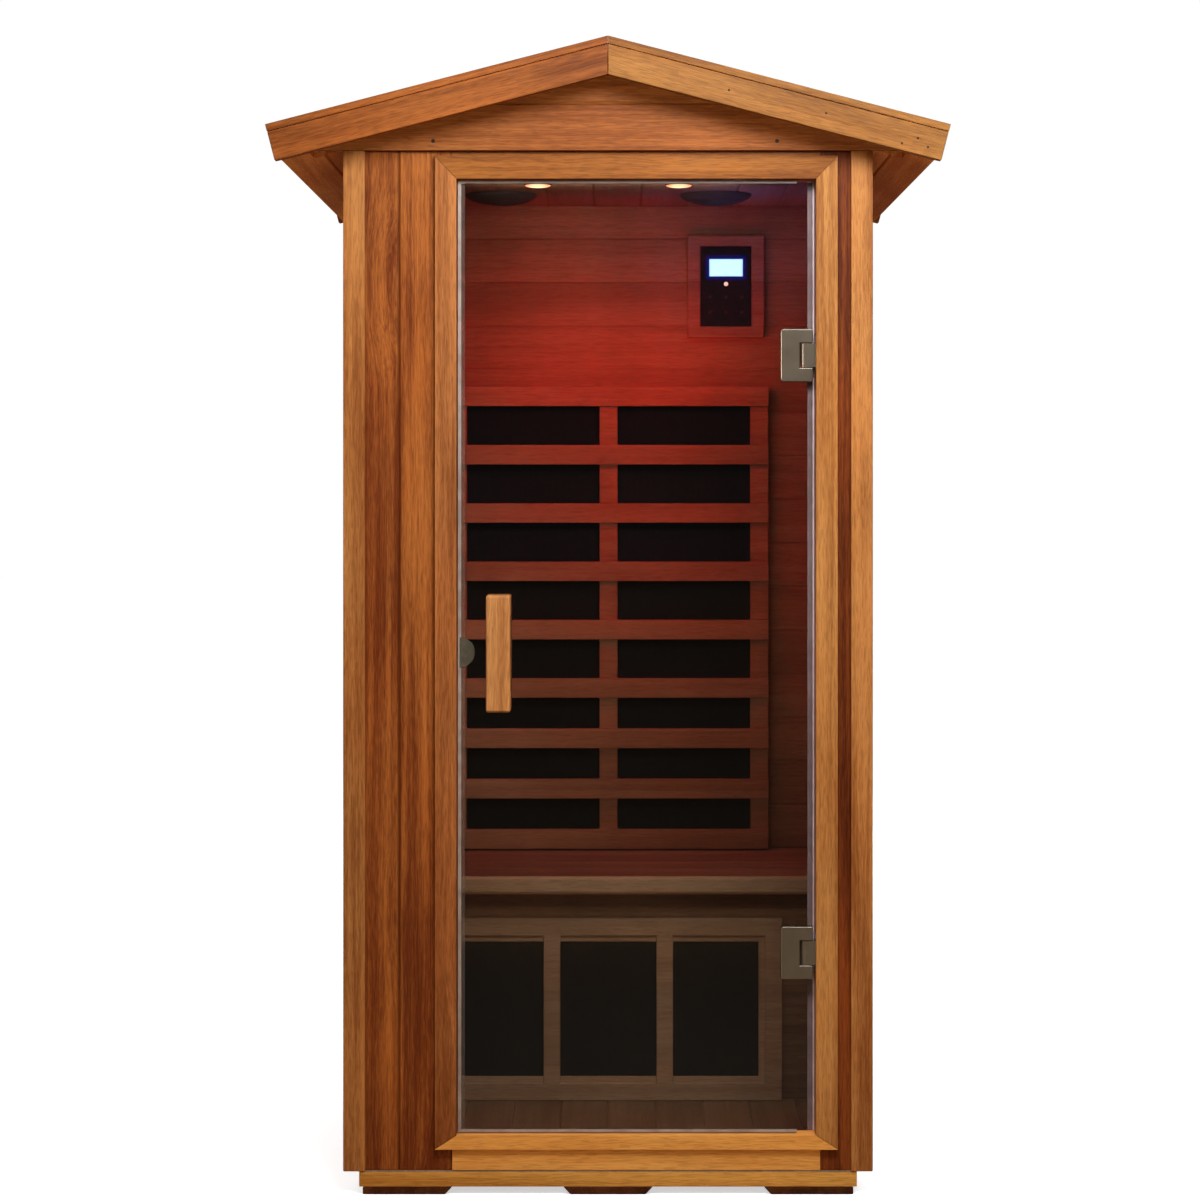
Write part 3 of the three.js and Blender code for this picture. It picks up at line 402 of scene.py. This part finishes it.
gable_board = 0.08
gable_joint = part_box("gable_front")[0].z + gable_board
gable_layout = (level_x, gable_board, gable_joint, board_variety)
gable_finish = timber("gable_boards", paint(158, 93, 42), paint(105, 53, 20), *gable_layout)
dress("gable_front", gable_finish)
dress("gable_rear", gable_finish)

# Heater elements: sheets of black carbon film on a stiff backing, clipped behind the timber guards.
# The film shows faint conductor stripes.
carbon, tree, shader, at = new_material("carbon_film", Metallic=0, Specular_IOR_Level=0.1)
wave = {"Vector": at, "Scale": 24.0, "Distortion": 0.4}
stripe = place(tree, "ShaderNodeTexWave", wave, bands_direction="X").outputs[1]
speck = noise_of(tree, at, (150, 150, 150))
film = math_of(tree, "MULTIPLY_ADD", speck, 0.4, math_of(tree, "MULTIPLY", stripe, 0.6))
tree.links.new(mix_of(tree, film, paint(15, 12, 12), paint(25, 21, 20)), shader.inputs["Base Color"])
tree.links.new(ramp_of(tree, speck, 0, 1, 0.7, 0.85), shader.inputs["Roughness"])
emboss(tree, shader, stripe, depth=0.0001)
dress("back_heater_element", carbon)
dress("bench_heater_element", carbon)

# Heater guards: slats on stiles in front of the back heater, and a framed panel of three windows
# in front of the bench heater, screwed from behind.
slat_step = 0.12
guard_layout = (level_x, slat_step, bench_top, lining_variety)
slat_finish = timber("slat_level", paint(186, 141, 109), paint(156, 113, 85), *guard_layout)
dress("back_heater_guard", slat_finish, post_edge)
dress("bench_heater_frame", timber("frame_level", lining_pale, lining_dark, *guard_layout))

# Bench: boards from side to side glued up as one seat, with a front edge that is rounded over. It lies on
# the cleat of the back lining and on a front panel that also holds the bench heater.
bench_board = 0.096
rounding = 0.004
bench_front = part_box("bench_seat")[0].y
bench_layout = (crosswise, bench_board, -bench_front, mixed_variety)
# The seat is painted darker and redder than the lining: painted shade and painted red light on the seat.
shaded_bench_finish = timber("bench_boards_painted_shade", paint(172, 116, 90), paint(138, 84, 62), *bench_layout)
# The seat's front edge is painted paler than its top: a painted highlight for the light that falls on it
# through the door.
lit_edge_finish = timber("bench_edge_painted_highlight", paint(208, 170, 132), paint(184, 147, 112), level_x)
bench = dress("bench_seat", shaded_bench_finish, broken_edge, 3)
part_finish(bench, lit_edge_finish, lambda middle: middle.y < bench_front + rounding)
# The front panel is painted darker than the lining: painted shade under the seat's front edge.
dress("bench_front_panel", timber("bench_panel_painted_shade", paint(150, 112, 80), paint(104, 72, 48), level_x))

# Control: a timber surround on the back lining, with a black touch panel in it, a lit display let
# into the panel, a lamp under the display and two rows of touch marks, raised by a hair.
full_edge = 0.003
fine_edge = 0.0006
dress("control_surround", lining_x, full_edge, 3)
low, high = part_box("display_window")
middle = (low + high) / 2
half = (high - low) / 2
panel_finish, tree, shader, at = new_material("touch_panel", Metallic=0, Emission_Strength=1.0)
smudge = noise_of(tree, at, (60, 60, 60))
tree.links.new(mix_of(tree, smudge, paint(32, 29, 35), paint(42, 38, 45)), shader.inputs["Base Color"])
tree.links.new(ramp_of(tree, smudge, 0, 1, 0.28, 0.5), shader.inputs["Roughness"])
# Round the display the panel glows blue, fading out within about a centimetre: painted light for the
# display's glow on the panel.
from_middle = vector_of(tree, "ABSOLUTE", vector_of(tree, "SUBTRACT", at, middle))
outside = vector_of(tree, "MAXIMUM", vector_of(tree, "SUBTRACT", from_middle, half), (0, 0, 0))
spill = place(tree, "ShaderNodeVectorMath", {0: outside}, operation="LENGTH").outputs["Value"]
painted_halo = mix_of(tree, ramp_of(tree, spill, 0.001, 0.011), paint(20, 28, 190), paint(0, 0, 0))
tree.links.new(painted_halo, shader.inputs["Emission Color"])
dress("control_panel", panel_finish, broken_edge, 3)
screen, tree, shader, at = new_material("display_lit", Metallic=0, Emission_Strength=5.5)
from_middle = vector_of(tree, "ABSOLUTE", vector_of(tree, "SUBTRACT", at, middle))
towards_edge = vector_of(tree, "DIVIDE", from_middle, half)
parts = place(tree, "ShaderNodeSeparateXYZ", {0: towards_edge}).outputs
border = ramp_of(tree, math_of(tree, "MAXIMUM", parts[0], parts[2]), 0.8, 1.0)
glow = mix_of(tree, border, paint(172, 230, 255), paint(150, 214, 255))
tree.links.new(glow, shader.inputs["Base Color"])
tree.links.new(glow, shader.inputs["Emission Color"])
dress("display_window", screen, fine_edge)


def select_faces(piece, wanted):
    """The faces of a piece that pass a test of their middle and normal, selected in edit mode."""
    pick(piece)
    bpy.ops.object.mode_set(mode="EDIT")
    bpy.ops.mesh.select_mode(type="FACE")
    bpy.ops.mesh.select_all(action="DESELECT")
    bpy.ops.object.mode_set(mode="OBJECT")
    for face in piece.data.polygons:
        face.select = wanted(face.center, face.normal)
    bpy.ops.object.mode_set(mode="EDIT")


def keep_below(piece, point, normal):
    """A piece sawn through a point, closed there, with what lies on the normal's side taken off."""
    pick(piece)
    bpy.ops.object.mode_set(mode="EDIT")
    bpy.ops.mesh.select_all(action="SELECT")
    bpy.ops.mesh.bisect(plane_co=point, plane_no=normal, use_fill=True, clear_outer=True, threshold=1e-6)
    bpy.ops.object.mode_set(mode="OBJECT")


def rest(piece):
    """A piece with its place in its mesh and its curved faces smooth."""
    pick(piece)
    bpy.ops.object.transform_apply(location=True, rotation=True, scale=True)
    bpy.ops.object.shade_smooth_by_angle(angle=math.radians(35))


def bead(name, at, radius, bulge, towards):
    """A low dome on a flat face at a point, bulging towards a direction."""
    bpy.ops.object.select_all(action="DESELECT")
    flat = [bulge if part else radius for part in towards]
    bpy.ops.mesh.primitive_uv_sphere_add(segments=40, ring_count=24, radius=1, location=at, scale=flat)
    piece = bpy.context.object
    piece.name = name
    rest(piece)
    keep_below(piece, at, [-part for part in towards])
    return piece


def stud(radius, length, rim, sink):
    """A round head that faces -Y at the origin, with a rim round a face sunk a little."""
    bpy.ops.object.select_all(action="DESELECT")
    bpy.ops.mesh.primitive_cylinder_add(vertices=24, radius=radius, depth=length, rotation=(quarter, 0, 0))
    piece = bpy.context.object
    rest(piece)
    select_faces(piece, lambda middle, normal: normal.y < -0.9)
    bpy.ops.mesh.inset(thickness=rim / 2, depth=rim / 4)
    bpy.ops.mesh.inset(thickness=rim / 2, depth=0)
    bpy.ops.mesh.inset(thickness=rim / 8, depth=-sink)
    bpy.ops.object.mode_set(mode="OBJECT")
    return piece


def scatter(pattern, name, places):
    """Copies of a small piece at places, as one piece, with the pattern put away."""
    copies = []
    for at in places:
        pick(pattern)
        bpy.ops.object.duplicate(linked=False)
        bpy.ops.transform.translate(value=at)
        copies.append(bpy.context.object)
    pick(copies[0])
    for copy in copies:
        copy.select_set(True)
    bpy.ops.object.join()
    piece = bpy.context.object
    piece.name = name
    rest(piece)
    bpy.data.objects.remove(pattern)
    return piece


low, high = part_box("control_panel")
middle = (low + high) / 2
lamp_lit, tree, shader, at = new_material("lamp_lit", Metallic=0, Emission_Strength=3.6)
sparkle = mix_of(tree, noise_of(tree, at, (400, 400, 400)), paint(255, 205, 198), paint(255, 228, 222))
tree.links.new(sparkle, shader.inputs["Base Color"])
tree.links.new(sparkle, shader.inputs["Emission Color"])
lamp_place = (middle.x, low.y, middle.z + 0.0045)
lamp_bead = bead("control_lamp", lamp_place, radius=0.0042, bulge=0.0012, towards=(0, -1, 0))
settle(lamp_bead, lamp_lit, "cabin")
mark_finish, tree, shader, at = new_material("touch_mark", Metallic=0)
worn = noise_of(tree, at, (500, 500, 500))
tree.links.new(mix_of(tree, worn, paint(66, 56, 62), paint(92, 80, 86)), shader.inputs["Base Color"])
tree.links.new(ramp_of(tree, worn, 0, 1, 0.4, 0.6), shader.inputs["Roughness"])
mark_columns = (-0.032, 0, 0.032)
mark_rows = (-0.022, -0.052)
mark_places = [(middle.x + x, low.y, middle.z + z) for x in mark_columns for z in mark_rows]
mark = stud(radius=0.0034, length=0.0008, rim=0.0009, sink=0.0003)
settle(scatter(mark, "touch_marks", mark_places), mark_finish, "cabin")

# Ceiling lights: rims of brushed nickel let into the ceiling boards, each with a low frosted lens.
# The lens glows, palest in the middle under the bulb.
polished_edge = 0.0008
lens_recess = 0.002
lens_radius = 0.024
lens_bulge = 0.0046
nickel, tree, shader, at = new_material("nickel_brushed", Metallic=0.5)
brush = noise_of(tree, at, (12, 500, 900), 2.0)
cloud = noise_of(tree, at, (18, 18, 18))
tree.links.new(mix_of(tree, cloud, paint(91, 78, 62), paint(99, 86, 69)), shader.inputs["Base Color"])
sheen = math_of(tree, "MULTIPLY_ADD", brush, 0.02, ramp_of(tree, cloud, 0, 1, 0.2, 0.23))
tree.links.new(sheen, shader.inputs["Roughness"])
lens_finish, tree, shader, at = new_material("lens_lit", Metallic=0, Emission_Strength=5.0)
light_low, light_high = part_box("ceiling_light_right")
light_middle = (light_low + light_high) / 2
light_place = Vector((light_middle.x, light_middle.y, light_low.z + lens_recess))
outwards = vector_of(tree, "SUBTRACT", vector_of(tree, "ABSOLUTE", at), light_place)
reach = place(tree, "ShaderNodeVectorMath", {0: outwards}, operation="LENGTH").outputs["Value"]
frosting = mix_of(tree, ramp_of(tree, reach, 0.008, 0.025), paint(255, 226, 184), paint(252, 156, 100))
tree.links.new(frosting, shader.inputs["Base Color"])
tree.links.new(frosting, shader.inputs["Emission Color"])
for side, x in (("left", -light_place.x), ("right", light_place.x)):
    dress("ceiling_light_" + side, nickel, polished_edge)
    lens_place = (x, light_place.y, light_place.z)
    lens = bead("light_lens_" + side, lens_place, lens_radius, lens_bulge, (0, 0, -1))
    settle(lens, lens_finish, "cabin")

# Speakers: dark mouldings let into the ceiling, a shallow bowl with ring slots in its face and a
# round housing that goes up through the boards.
moulding, tree, shader, at = new_material("speaker_moulding", Metallic=0)
speck = noise_of(tree, at, (420, 420, 420))
tree.links.new(mix_of(tree, speck, paint(66, 58, 56), paint(86, 76, 72)), shader.inputs["Base Color"])
tree.links.new(ramp_of(tree, speck, 0, 1, 0.5, 0.7), shader.inputs["Roughness"])
low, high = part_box("speaker_left")
middle = (low + high) / 2
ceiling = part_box("ceiling_boards")[0].z
radius = (high.x - low.x) / 2
rings = 48
slotted_share = 0.8
seat_gap = 0.0004
housing_radius = 0.055
bpy.ops.object.select_all(action="DESELECT")
bpy.ops.mesh.primitive_uv_sphere_add(
    segments=72,
    ring_count=rings,
    radius=1,
    location=(middle.x, middle.y, ceiling),
    scale=(radius, radius, ceiling - low.z),
)
bowl = bpy.context.object
bowl.name = "speaker_left_moulding"
rest(bowl)
keep_below(bowl, (0, 0, ceiling - seat_gap), (0, 0, 1))


def in_ring_slot(centre, normal):
    """Every second ring of the bowl's face."""
    share = math.hypot(centre.x - middle.x, centre.y - middle.y) / radius
    if normal.z >= 0 or share >= slotted_share:
        return False
    return math.floor(math.asin(share) / math.pi * rings) % 2 == 1


select_faces(bowl, in_ring_slot)
bpy.ops.mesh.inset(thickness=0.0007, depth=-0.0016)
bpy.ops.object.mode_set(mode="OBJECT")
select_faces(bowl, lambda centre, normal: normal.z > 0.9 and centre.z > ceiling - 1.25 * seat_gap)
bpy.ops.mesh.inset(thickness=radius - housing_radius, depth=0)
bpy.ops.mesh.extrude_region_move(TRANSFORM_OT_translate={"value": (0, 0, high.z - ceiling + seat_gap)})
bpy.ops.object.mode_set(mode="OBJECT")
rest(bowl)
bpy.ops.object.duplicate(linked=False)
bpy.ops.transform.translate(value=(-2 * middle.x, 0, 0))
twin = bpy.context.object
twin.name = "speaker_right_moulding"
rest(twin)
for piece, node in ((bowl, "speaker_left"), (twin, "speaker_right")):
    settle(piece, moulding, "cabin")
    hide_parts(node)

# Power box: a grey moulded case screwed down on top of the ceiling, out of sight under the roof. Its
# cable gland goes out through the rear gable.
case, tree, shader, at = new_material("case_moulding", Metallic=0)
speck = noise_of(tree, at, (800, 800, 800))
tree.links.new(mix_of(tree, speck, paint(118, 116, 112), paint(134, 132, 128)), shader.inputs["Base Color"])
tree.links.new(ramp_of(tree, speck, 0, 1, 0.5, 0.65), shader.inputs["Roughness"])
dress("power_box", case, full_edge, 3)

# Door glass: one sheet of toughened bronze glass with polished edges, notched for its hinges and
# drilled for its handles. The studio lamps shine in through it, so it throws no shadow.
glass, tree, shader, at = new_material("glass_bronze", Metallic=0, Transmission_Weight=1.0, IOR=1.3)
smear = noise_of(tree, at, (7, 7, 2.5), 4.0)
tree.links.new(ramp_of(tree, smear, 0, 1, 0.0, 0.02), shader.inputs["Roughness"])
tree.links.new(mix_of(tree, smear, paint(140, 132, 124), paint(147, 139, 131)), shader.inputs["Base Color"])
pane = dress("door_glass", glass, polished_edge)
pane.visible_shadow = False

# Seals: pale strips, one pushed onto the free edges of the glass and one on the hinge side. The
# legs that lie on the face of the glass beside the handle are nearly clear.
soft_edge = 0.0004
side_bead = 0.0052
end_bead = 0.005
fade = 0.001
clearness = 0.93


def strip(name, first, second):
    """A strip of soft plastic that is cloudy inside."""
    material, tree, shader, at = new_material(name, Metallic=0)
    milk = noise_of(tree, at, (40, 40, 40))
    tree.links.new(mix_of(tree, milk, first, second), shader.inputs["Base Color"])
    tree.links.new(ramp_of(tree, milk, 0, 1, 0.35, 0.5), shader.inputs["Roughness"])
    return material, tree, shader, at


# The hinge-side strip is painted paler and pinker than the other: painted light for the red glow from
# inside that shows through it in the shade of the jamb.
glowing_hinge_strip = strip("seal_hinge_side_painted_glow", paint(196, 166, 168), paint(214, 186, 188))[0]
edge_strip, tree, shader, at = strip("seal_free_edges", paint(138, 116, 101), paint(158, 136, 120))
low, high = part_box("door_edge_seal")
parts = place(tree, "ShaderNodeSeparateXYZ", {0: at}).outputs
inward = ramp_of(tree, math_of(tree, "SUBTRACT", parts[0], low.x), side_bead, side_bead + fade)
above = ramp_of(tree, math_of(tree, "SUBTRACT", parts[2], low.z), end_bead, end_bead + fade)
below = ramp_of(tree, math_of(tree, "SUBTRACT", high.z, parts[2]), end_bead, end_bead + fade)
leg = math_of(tree, "MULTIPLY", inward, math_of(tree, "MULTIPLY", above, below))
tree.links.new(math_of(tree, "MULTIPLY_ADD", leg, -clearness, 1.0), shader.inputs["Alpha"])
dress("door_edge_seal", edge_strip, soft_edge)
dress("hinge_side_seal", glowing_hinge_strip, soft_edge)

# Hinges: brushed nickel clamp plates on both faces of the glass, with a pin between their lugs and
# a bracket whose flange is let into the jamb. Two screws pull each inner plate to the outer one.
for level in ("upper", "lower"):
    dress(f"{level}_hinge_outer_plate", nickel, broken_edge, 3)
    for part in ("inner_plate", "bracket", "pin"):
        dress(f"{level}_hinge_{part}", nickel, fine_edge)
screw_inset = 0.016
screw_rises = (-0.028, 0.028)
screw_places = []
for level in ("upper", "lower"):
    low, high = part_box(f"{level}_hinge_inner_plate")
    middle = (low + high) / 2
    screw_places += [(low.x + screw_inset, high.y, middle.z + rise) for rise in screw_rises]
screw = stud(radius=0.0042, length=0.0012, rim=0.0016, sink=0.001)
pick(screw)
bpy.ops.transform.rotate(value=math.pi, orient_axis="Z", center_override=(0, 0, 0))
rest(screw)
settle(scatter(screw, "hinge_screws", screw_places), nickel, "door")

# Notch liners: strips of black rubber in the notches of the glass, between it and the knuckle of each
# hinge. The knuckle turns in a shallow channel along the strip.
rubber, tree, shader, at = new_material("liner_rubber", Metallic=0, Specular_IOR_Level=0.1)
bloom = noise_of(tree, at, (300, 300, 300))
tree.links.new(mix_of(tree, bloom, paint(22, 18, 16), paint(34, 29, 26)), shader.inputs["Base Color"])
tree.links.new(ramp_of(tree, bloom, 0, 1, 0.7, 0.85), shader.inputs["Roughness"])
liner_size = (0.0036, 0.006, 0.0418)
from_pin = 0.0101
for level in ("upper", "lower"):
    low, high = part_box(f"{level}_hinge_pin")
    pin = (low + high) / 2
    bpy.ops.object.select_all(action="DESELECT")
    beside = (pin.x - from_pin, pin.y, pin.z)
    bpy.ops.mesh.primitive_cube_add(size=1, location=beside, scale=liner_size)
    liner = bpy.context.object
    liner.name = level + "_notch_liner"
    rest(liner)
    select_faces(liner, lambda centre, normal: normal.x > 0.9)
    bpy.ops.mesh.inset(thickness=0.0014, depth=-0.0006)
    bpy.ops.object.mode_set(mode="OBJECT")
    round_edges(liner, edge=0.0003, segments=2)
    settle(liner, rubber, "door")

# Nails: dark steel heads, small ones in the barge boards and larger ones in the gables, at the front
# and at the rear. They are driven nearly flush with the wood.
steel, tree, shader, at = new_material("nail_steel", Metallic=0, Specular_IOR_Level=0.2)
rust = noise_of(tree, at, (700, 700, 700))
tree.links.new(mix_of(tree, rust, paint(24, 15, 10), paint(42, 27, 19)), shader.inputs["Base Color"])
tree.links.new(ramp_of(tree, rust, 0, 1, 0.5, 0.8), shader.inputs["Roughness"])
barge_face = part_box("barge_front_right")[0].y
gable_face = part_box("gable_front")[0].y
barge_nails = ((0.202, 1.8645), (0.364, 1.826), (0.517, 1.7845), (0.4905, 1.776), (0.534, 1.7695))
gable_nails = ((-0.297, 1.79), (0.287, 1.79))
driven = 0.0005
small = [(x, barge_face + driven, z) for x, z in barge_nails]
large = [(x, gable_face + driven, z) for x, z in gable_nails]
for size, radius, places in (("small", 0.0018, small), ("large", 0.0034, large)):
    nail = stud(radius, length=0.0016, rim=0.0008, sink=0.0003)
    nails = scatter(nail, f"nails_{size}_front", places)
    settle(nails, steel, "cabin")
    pick(nails)
    bpy.ops.object.duplicate(linked=False)
    bpy.ops.transform.rotate(value=math.pi, orient_axis="Z", center_override=(0, 0, 0))
    behind = bpy.context.object
    behind.name = f"nails_{size}_rear"
    rest(behind)
    settle(behind, steel, "cabin")

# Handles, strike plate and catch: a timber bar on each face of the glass, bolted through it, a steel
# half-round at the free edge and the magnet that holds it.
handle_finish = timber("handle_oiled", paint(208, 142, 82), paint(146, 88, 44), upright_x)
dress("handle_outer", handle_finish, polished_edge)
dress("handle_inner", handle_finish, polished_edge)
bolt_rises = (-0.08, 0.08)
low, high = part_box("handle_outer")
middle = (low + high) / 2
glass_low, glass_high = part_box("door_glass")
bolt_y = (glass_low.y + glass_high.y) / 2
bolt_places = [(middle.x, bolt_y, middle.z + rise) for rise in bolt_rises]
bolt = stud(radius=0.0036, length=glass_high.y - glass_low.y, rim=0.0012, sink=0.0006)
settle(scatter(bolt, "handle_bolts", bolt_places), nickel, "door")
zinc, tree, shader, at = new_material("zinc_satin", Metallic=0.35)
cloud = noise_of(tree, at, (90, 90, 90))
tree.links.new(mix_of(tree, cloud, paint(160, 150, 124), paint(180, 169, 143)), shader.inputs["Base Color"])
tree.links.new(ramp_of(tree, cloud, 0, 1, 0.4, 0.5), shader.inputs["Roughness"])
dress("strike_plate", zinc, fine_edge)
dress("magnetic_catch", moulding, edge=0.001)

# Studio: a plain pale floor in white surroundings, with a soft key lamp near the front and fills on
# every side. Lamps in the cabin stand for its red glow and the light of its control. Some lamps are
# kept to single pieces, or off them.
plain = {"Metallic": 0, "Roughness": 1.0, "Emission_Strength": 0.6}
floor_white, tree, shader, at = new_material("studio_floor", **plain)
cloud = noise_of(tree, at, (0.2, 0.2, 0.2))
pale = mix_of(tree, cloud, paint(249, 249, 249), paint(251, 251, 251))
tree.links.new(pale, shader.inputs["Base Color"])
tree.links.new(pale, shader.inputs["Emission Color"])
soft = place(tree, "ShaderNodeBsdfDiffuse", {"Color": (0.3, 0.24, 0.18, 1)})
seen = place(tree, "ShaderNodeLightPath").outputs["Is Camera Ray"]
both = place(tree, "ShaderNodeMixShader", {0: seen, 1: soft.outputs[0], 2: shader.outputs[0]})
tree.links.new(both.outputs[0], tree.nodes["Material Output"].inputs[0])
bpy.ops.mesh.primitive_plane_add(size=60)
floor = bpy.context.object
floor.name = "studio_floor"
floor.data.materials.append(floor_white)


def lamp(name, at, towards, width, height, power, colour, mirrored):
    """A soft lamp that the camera doesn't see, shown in shiny faces or not."""
    bpy.ops.object.light_add(type="AREA", location=at)
    light = bpy.context.object
    light.name = name
    light.data.shape = "RECTANGLE"
    light.data.size = width
    light.data.size_y = height
    light.data.energy = power
    light.data.color = colour
    light.rotation_euler = (Vector(towards) - Vector(at)).to_track_quat("-Z", "Y").to_euler()
    light.visible_camera = False
    light.visible_transmission = False
    light.visible_glossy = mirrored
    return light


def link_light(light, state, pieces):
    """Keep a lamp's light to the pieces named, or off them."""
    group = bpy.data.collections.new(light.name + "_pieces")
    light.light_linking.receiver_collection = group
    for piece in pieces:
        group.objects.link(bpy.data.objects[piece + "_finish"])
    for linked in group.collection_objects:
        linked.light_linking.link_state = state


white = (1, 1, 1)
edge = lamp("edge_light", (-3.4, -1.25, 1.8), (0.3, -0.44, 1.4), 2.0, 1.0, 250, (1, 0.92, 0.88), True)
shiny_parts = ("hinge_outer_plate", "hinge_bracket")
link_light(edge, "INCLUDE", [f"{level}_{part}" for level in ("upper", "lower") for part in shiny_parts])
eave = lamp("eave_light", (0.3, -2.2, 1.0), (0, -0.45, 1.88), 0.8, 0.8, 14, (1, 0.98, 0.96), False)
link_light(eave, "INCLUDE", ["gable_front"])
key = lamp("key", (0.32, -1.85, 2.32), (0.1, -0.45, 1.6), 0.9, 0.6, 48, (0.9, 1.03, 1.16), True)
link_light(key, "EXCLUDE", ["back_lining", "back_heater_guard"])
lamp("fill", (-2.6, -4.4, 2.6), (0, -0.4, 1.5), 2.0, 2.0, 11, white, True)
lamp("rear_fill", (0.8, 4.8, 2.6), (0, 0.4, 1.0), 2.5, 2.5, 100, white, False)
lamp("left_fill", (-4.2, 1.2, 2.2), (0, 0.2, 1.0), 2.0, 2.0, 45, white, False)
lamp("right_fill", (4.2, 1.2, 2.2), (0, 0.2, 1.0), 2.0, 2.0, 45, white, False)
lamp("warm_fill", (0, -3.2, 0.25), (0, -0.45, 0.45), 1.5, 0.6, 12, (1, 0.72, 0.44), False)
lamp("red_glow", (0.0, 0.16, 1.44), (0.0, 0.4, 1.43), 0.5, 0.1, 2.6, (1, 0.04, 0.045), False)
lamp("red_down", (0.0, 0.12, 1.25), (0.0, 0.25, 0.45), 0.5, 0.1, 2.1, (1, 0.03, 0.03), False)
slats = lamp("slat_fill", (-0.32, -0.15, 0.84), (-0.3, 0.4, 0.84), 0.1, 0.8, 1.7, (1, 0.98, 0.96), False)
link_light(slats, "INCLUDE", ["back_heater_guard"])
lamp("neutral_fill", (0.0, -0.36, 0.36), (0.0, 0.1, 0.38), 0.3, 0.2, 0.4, (1, 0.92, 0.83), False)
lamp("ceiling_fill", (0.0, 0.0, 1.755), (0.0, 0.4, 1.68), 0.5, 0.05, 0.65, (1, 0.95, 0.88), False)
lamp("blue_trace", (0.25, 0.12, 1.6), (0.25, 0.2, 1.77), 0.08, 0.08, 0.5, (0.2, 0.14, 1), False)
world = bpy.data.worlds.new("studio")
bpy.context.scene.world = world
world.use_nodes = True
tree = world.node_tree
tree.nodes.clear()
direction = place(tree, "ShaderNodeTexCoord").outputs["Generated"]
height = place(tree, "ShaderNodeSeparateXYZ", {0: direction}).outputs[2]
brightness = ramp_of(tree, height, 0.1, 1.0, 0.1, 0.7)
sky = place(tree, "ShaderNodeBackground", {"Color": (1, 1, 1, 1), "Strength": brightness})
wall = place(tree, "ShaderNodeBackground", {"Color": (1, 1, 1, 1), "Strength": 1.0})
seen = place(tree, "ShaderNodeLightPath").outputs["Is Camera Ray"]
studio = place(tree, "ShaderNodeMixShader", {0: seen, 1: sky.outputs[0], 2: wall.outputs[0]})
place(tree, "ShaderNodeOutputWorld", {0: studio.outputs[0]})
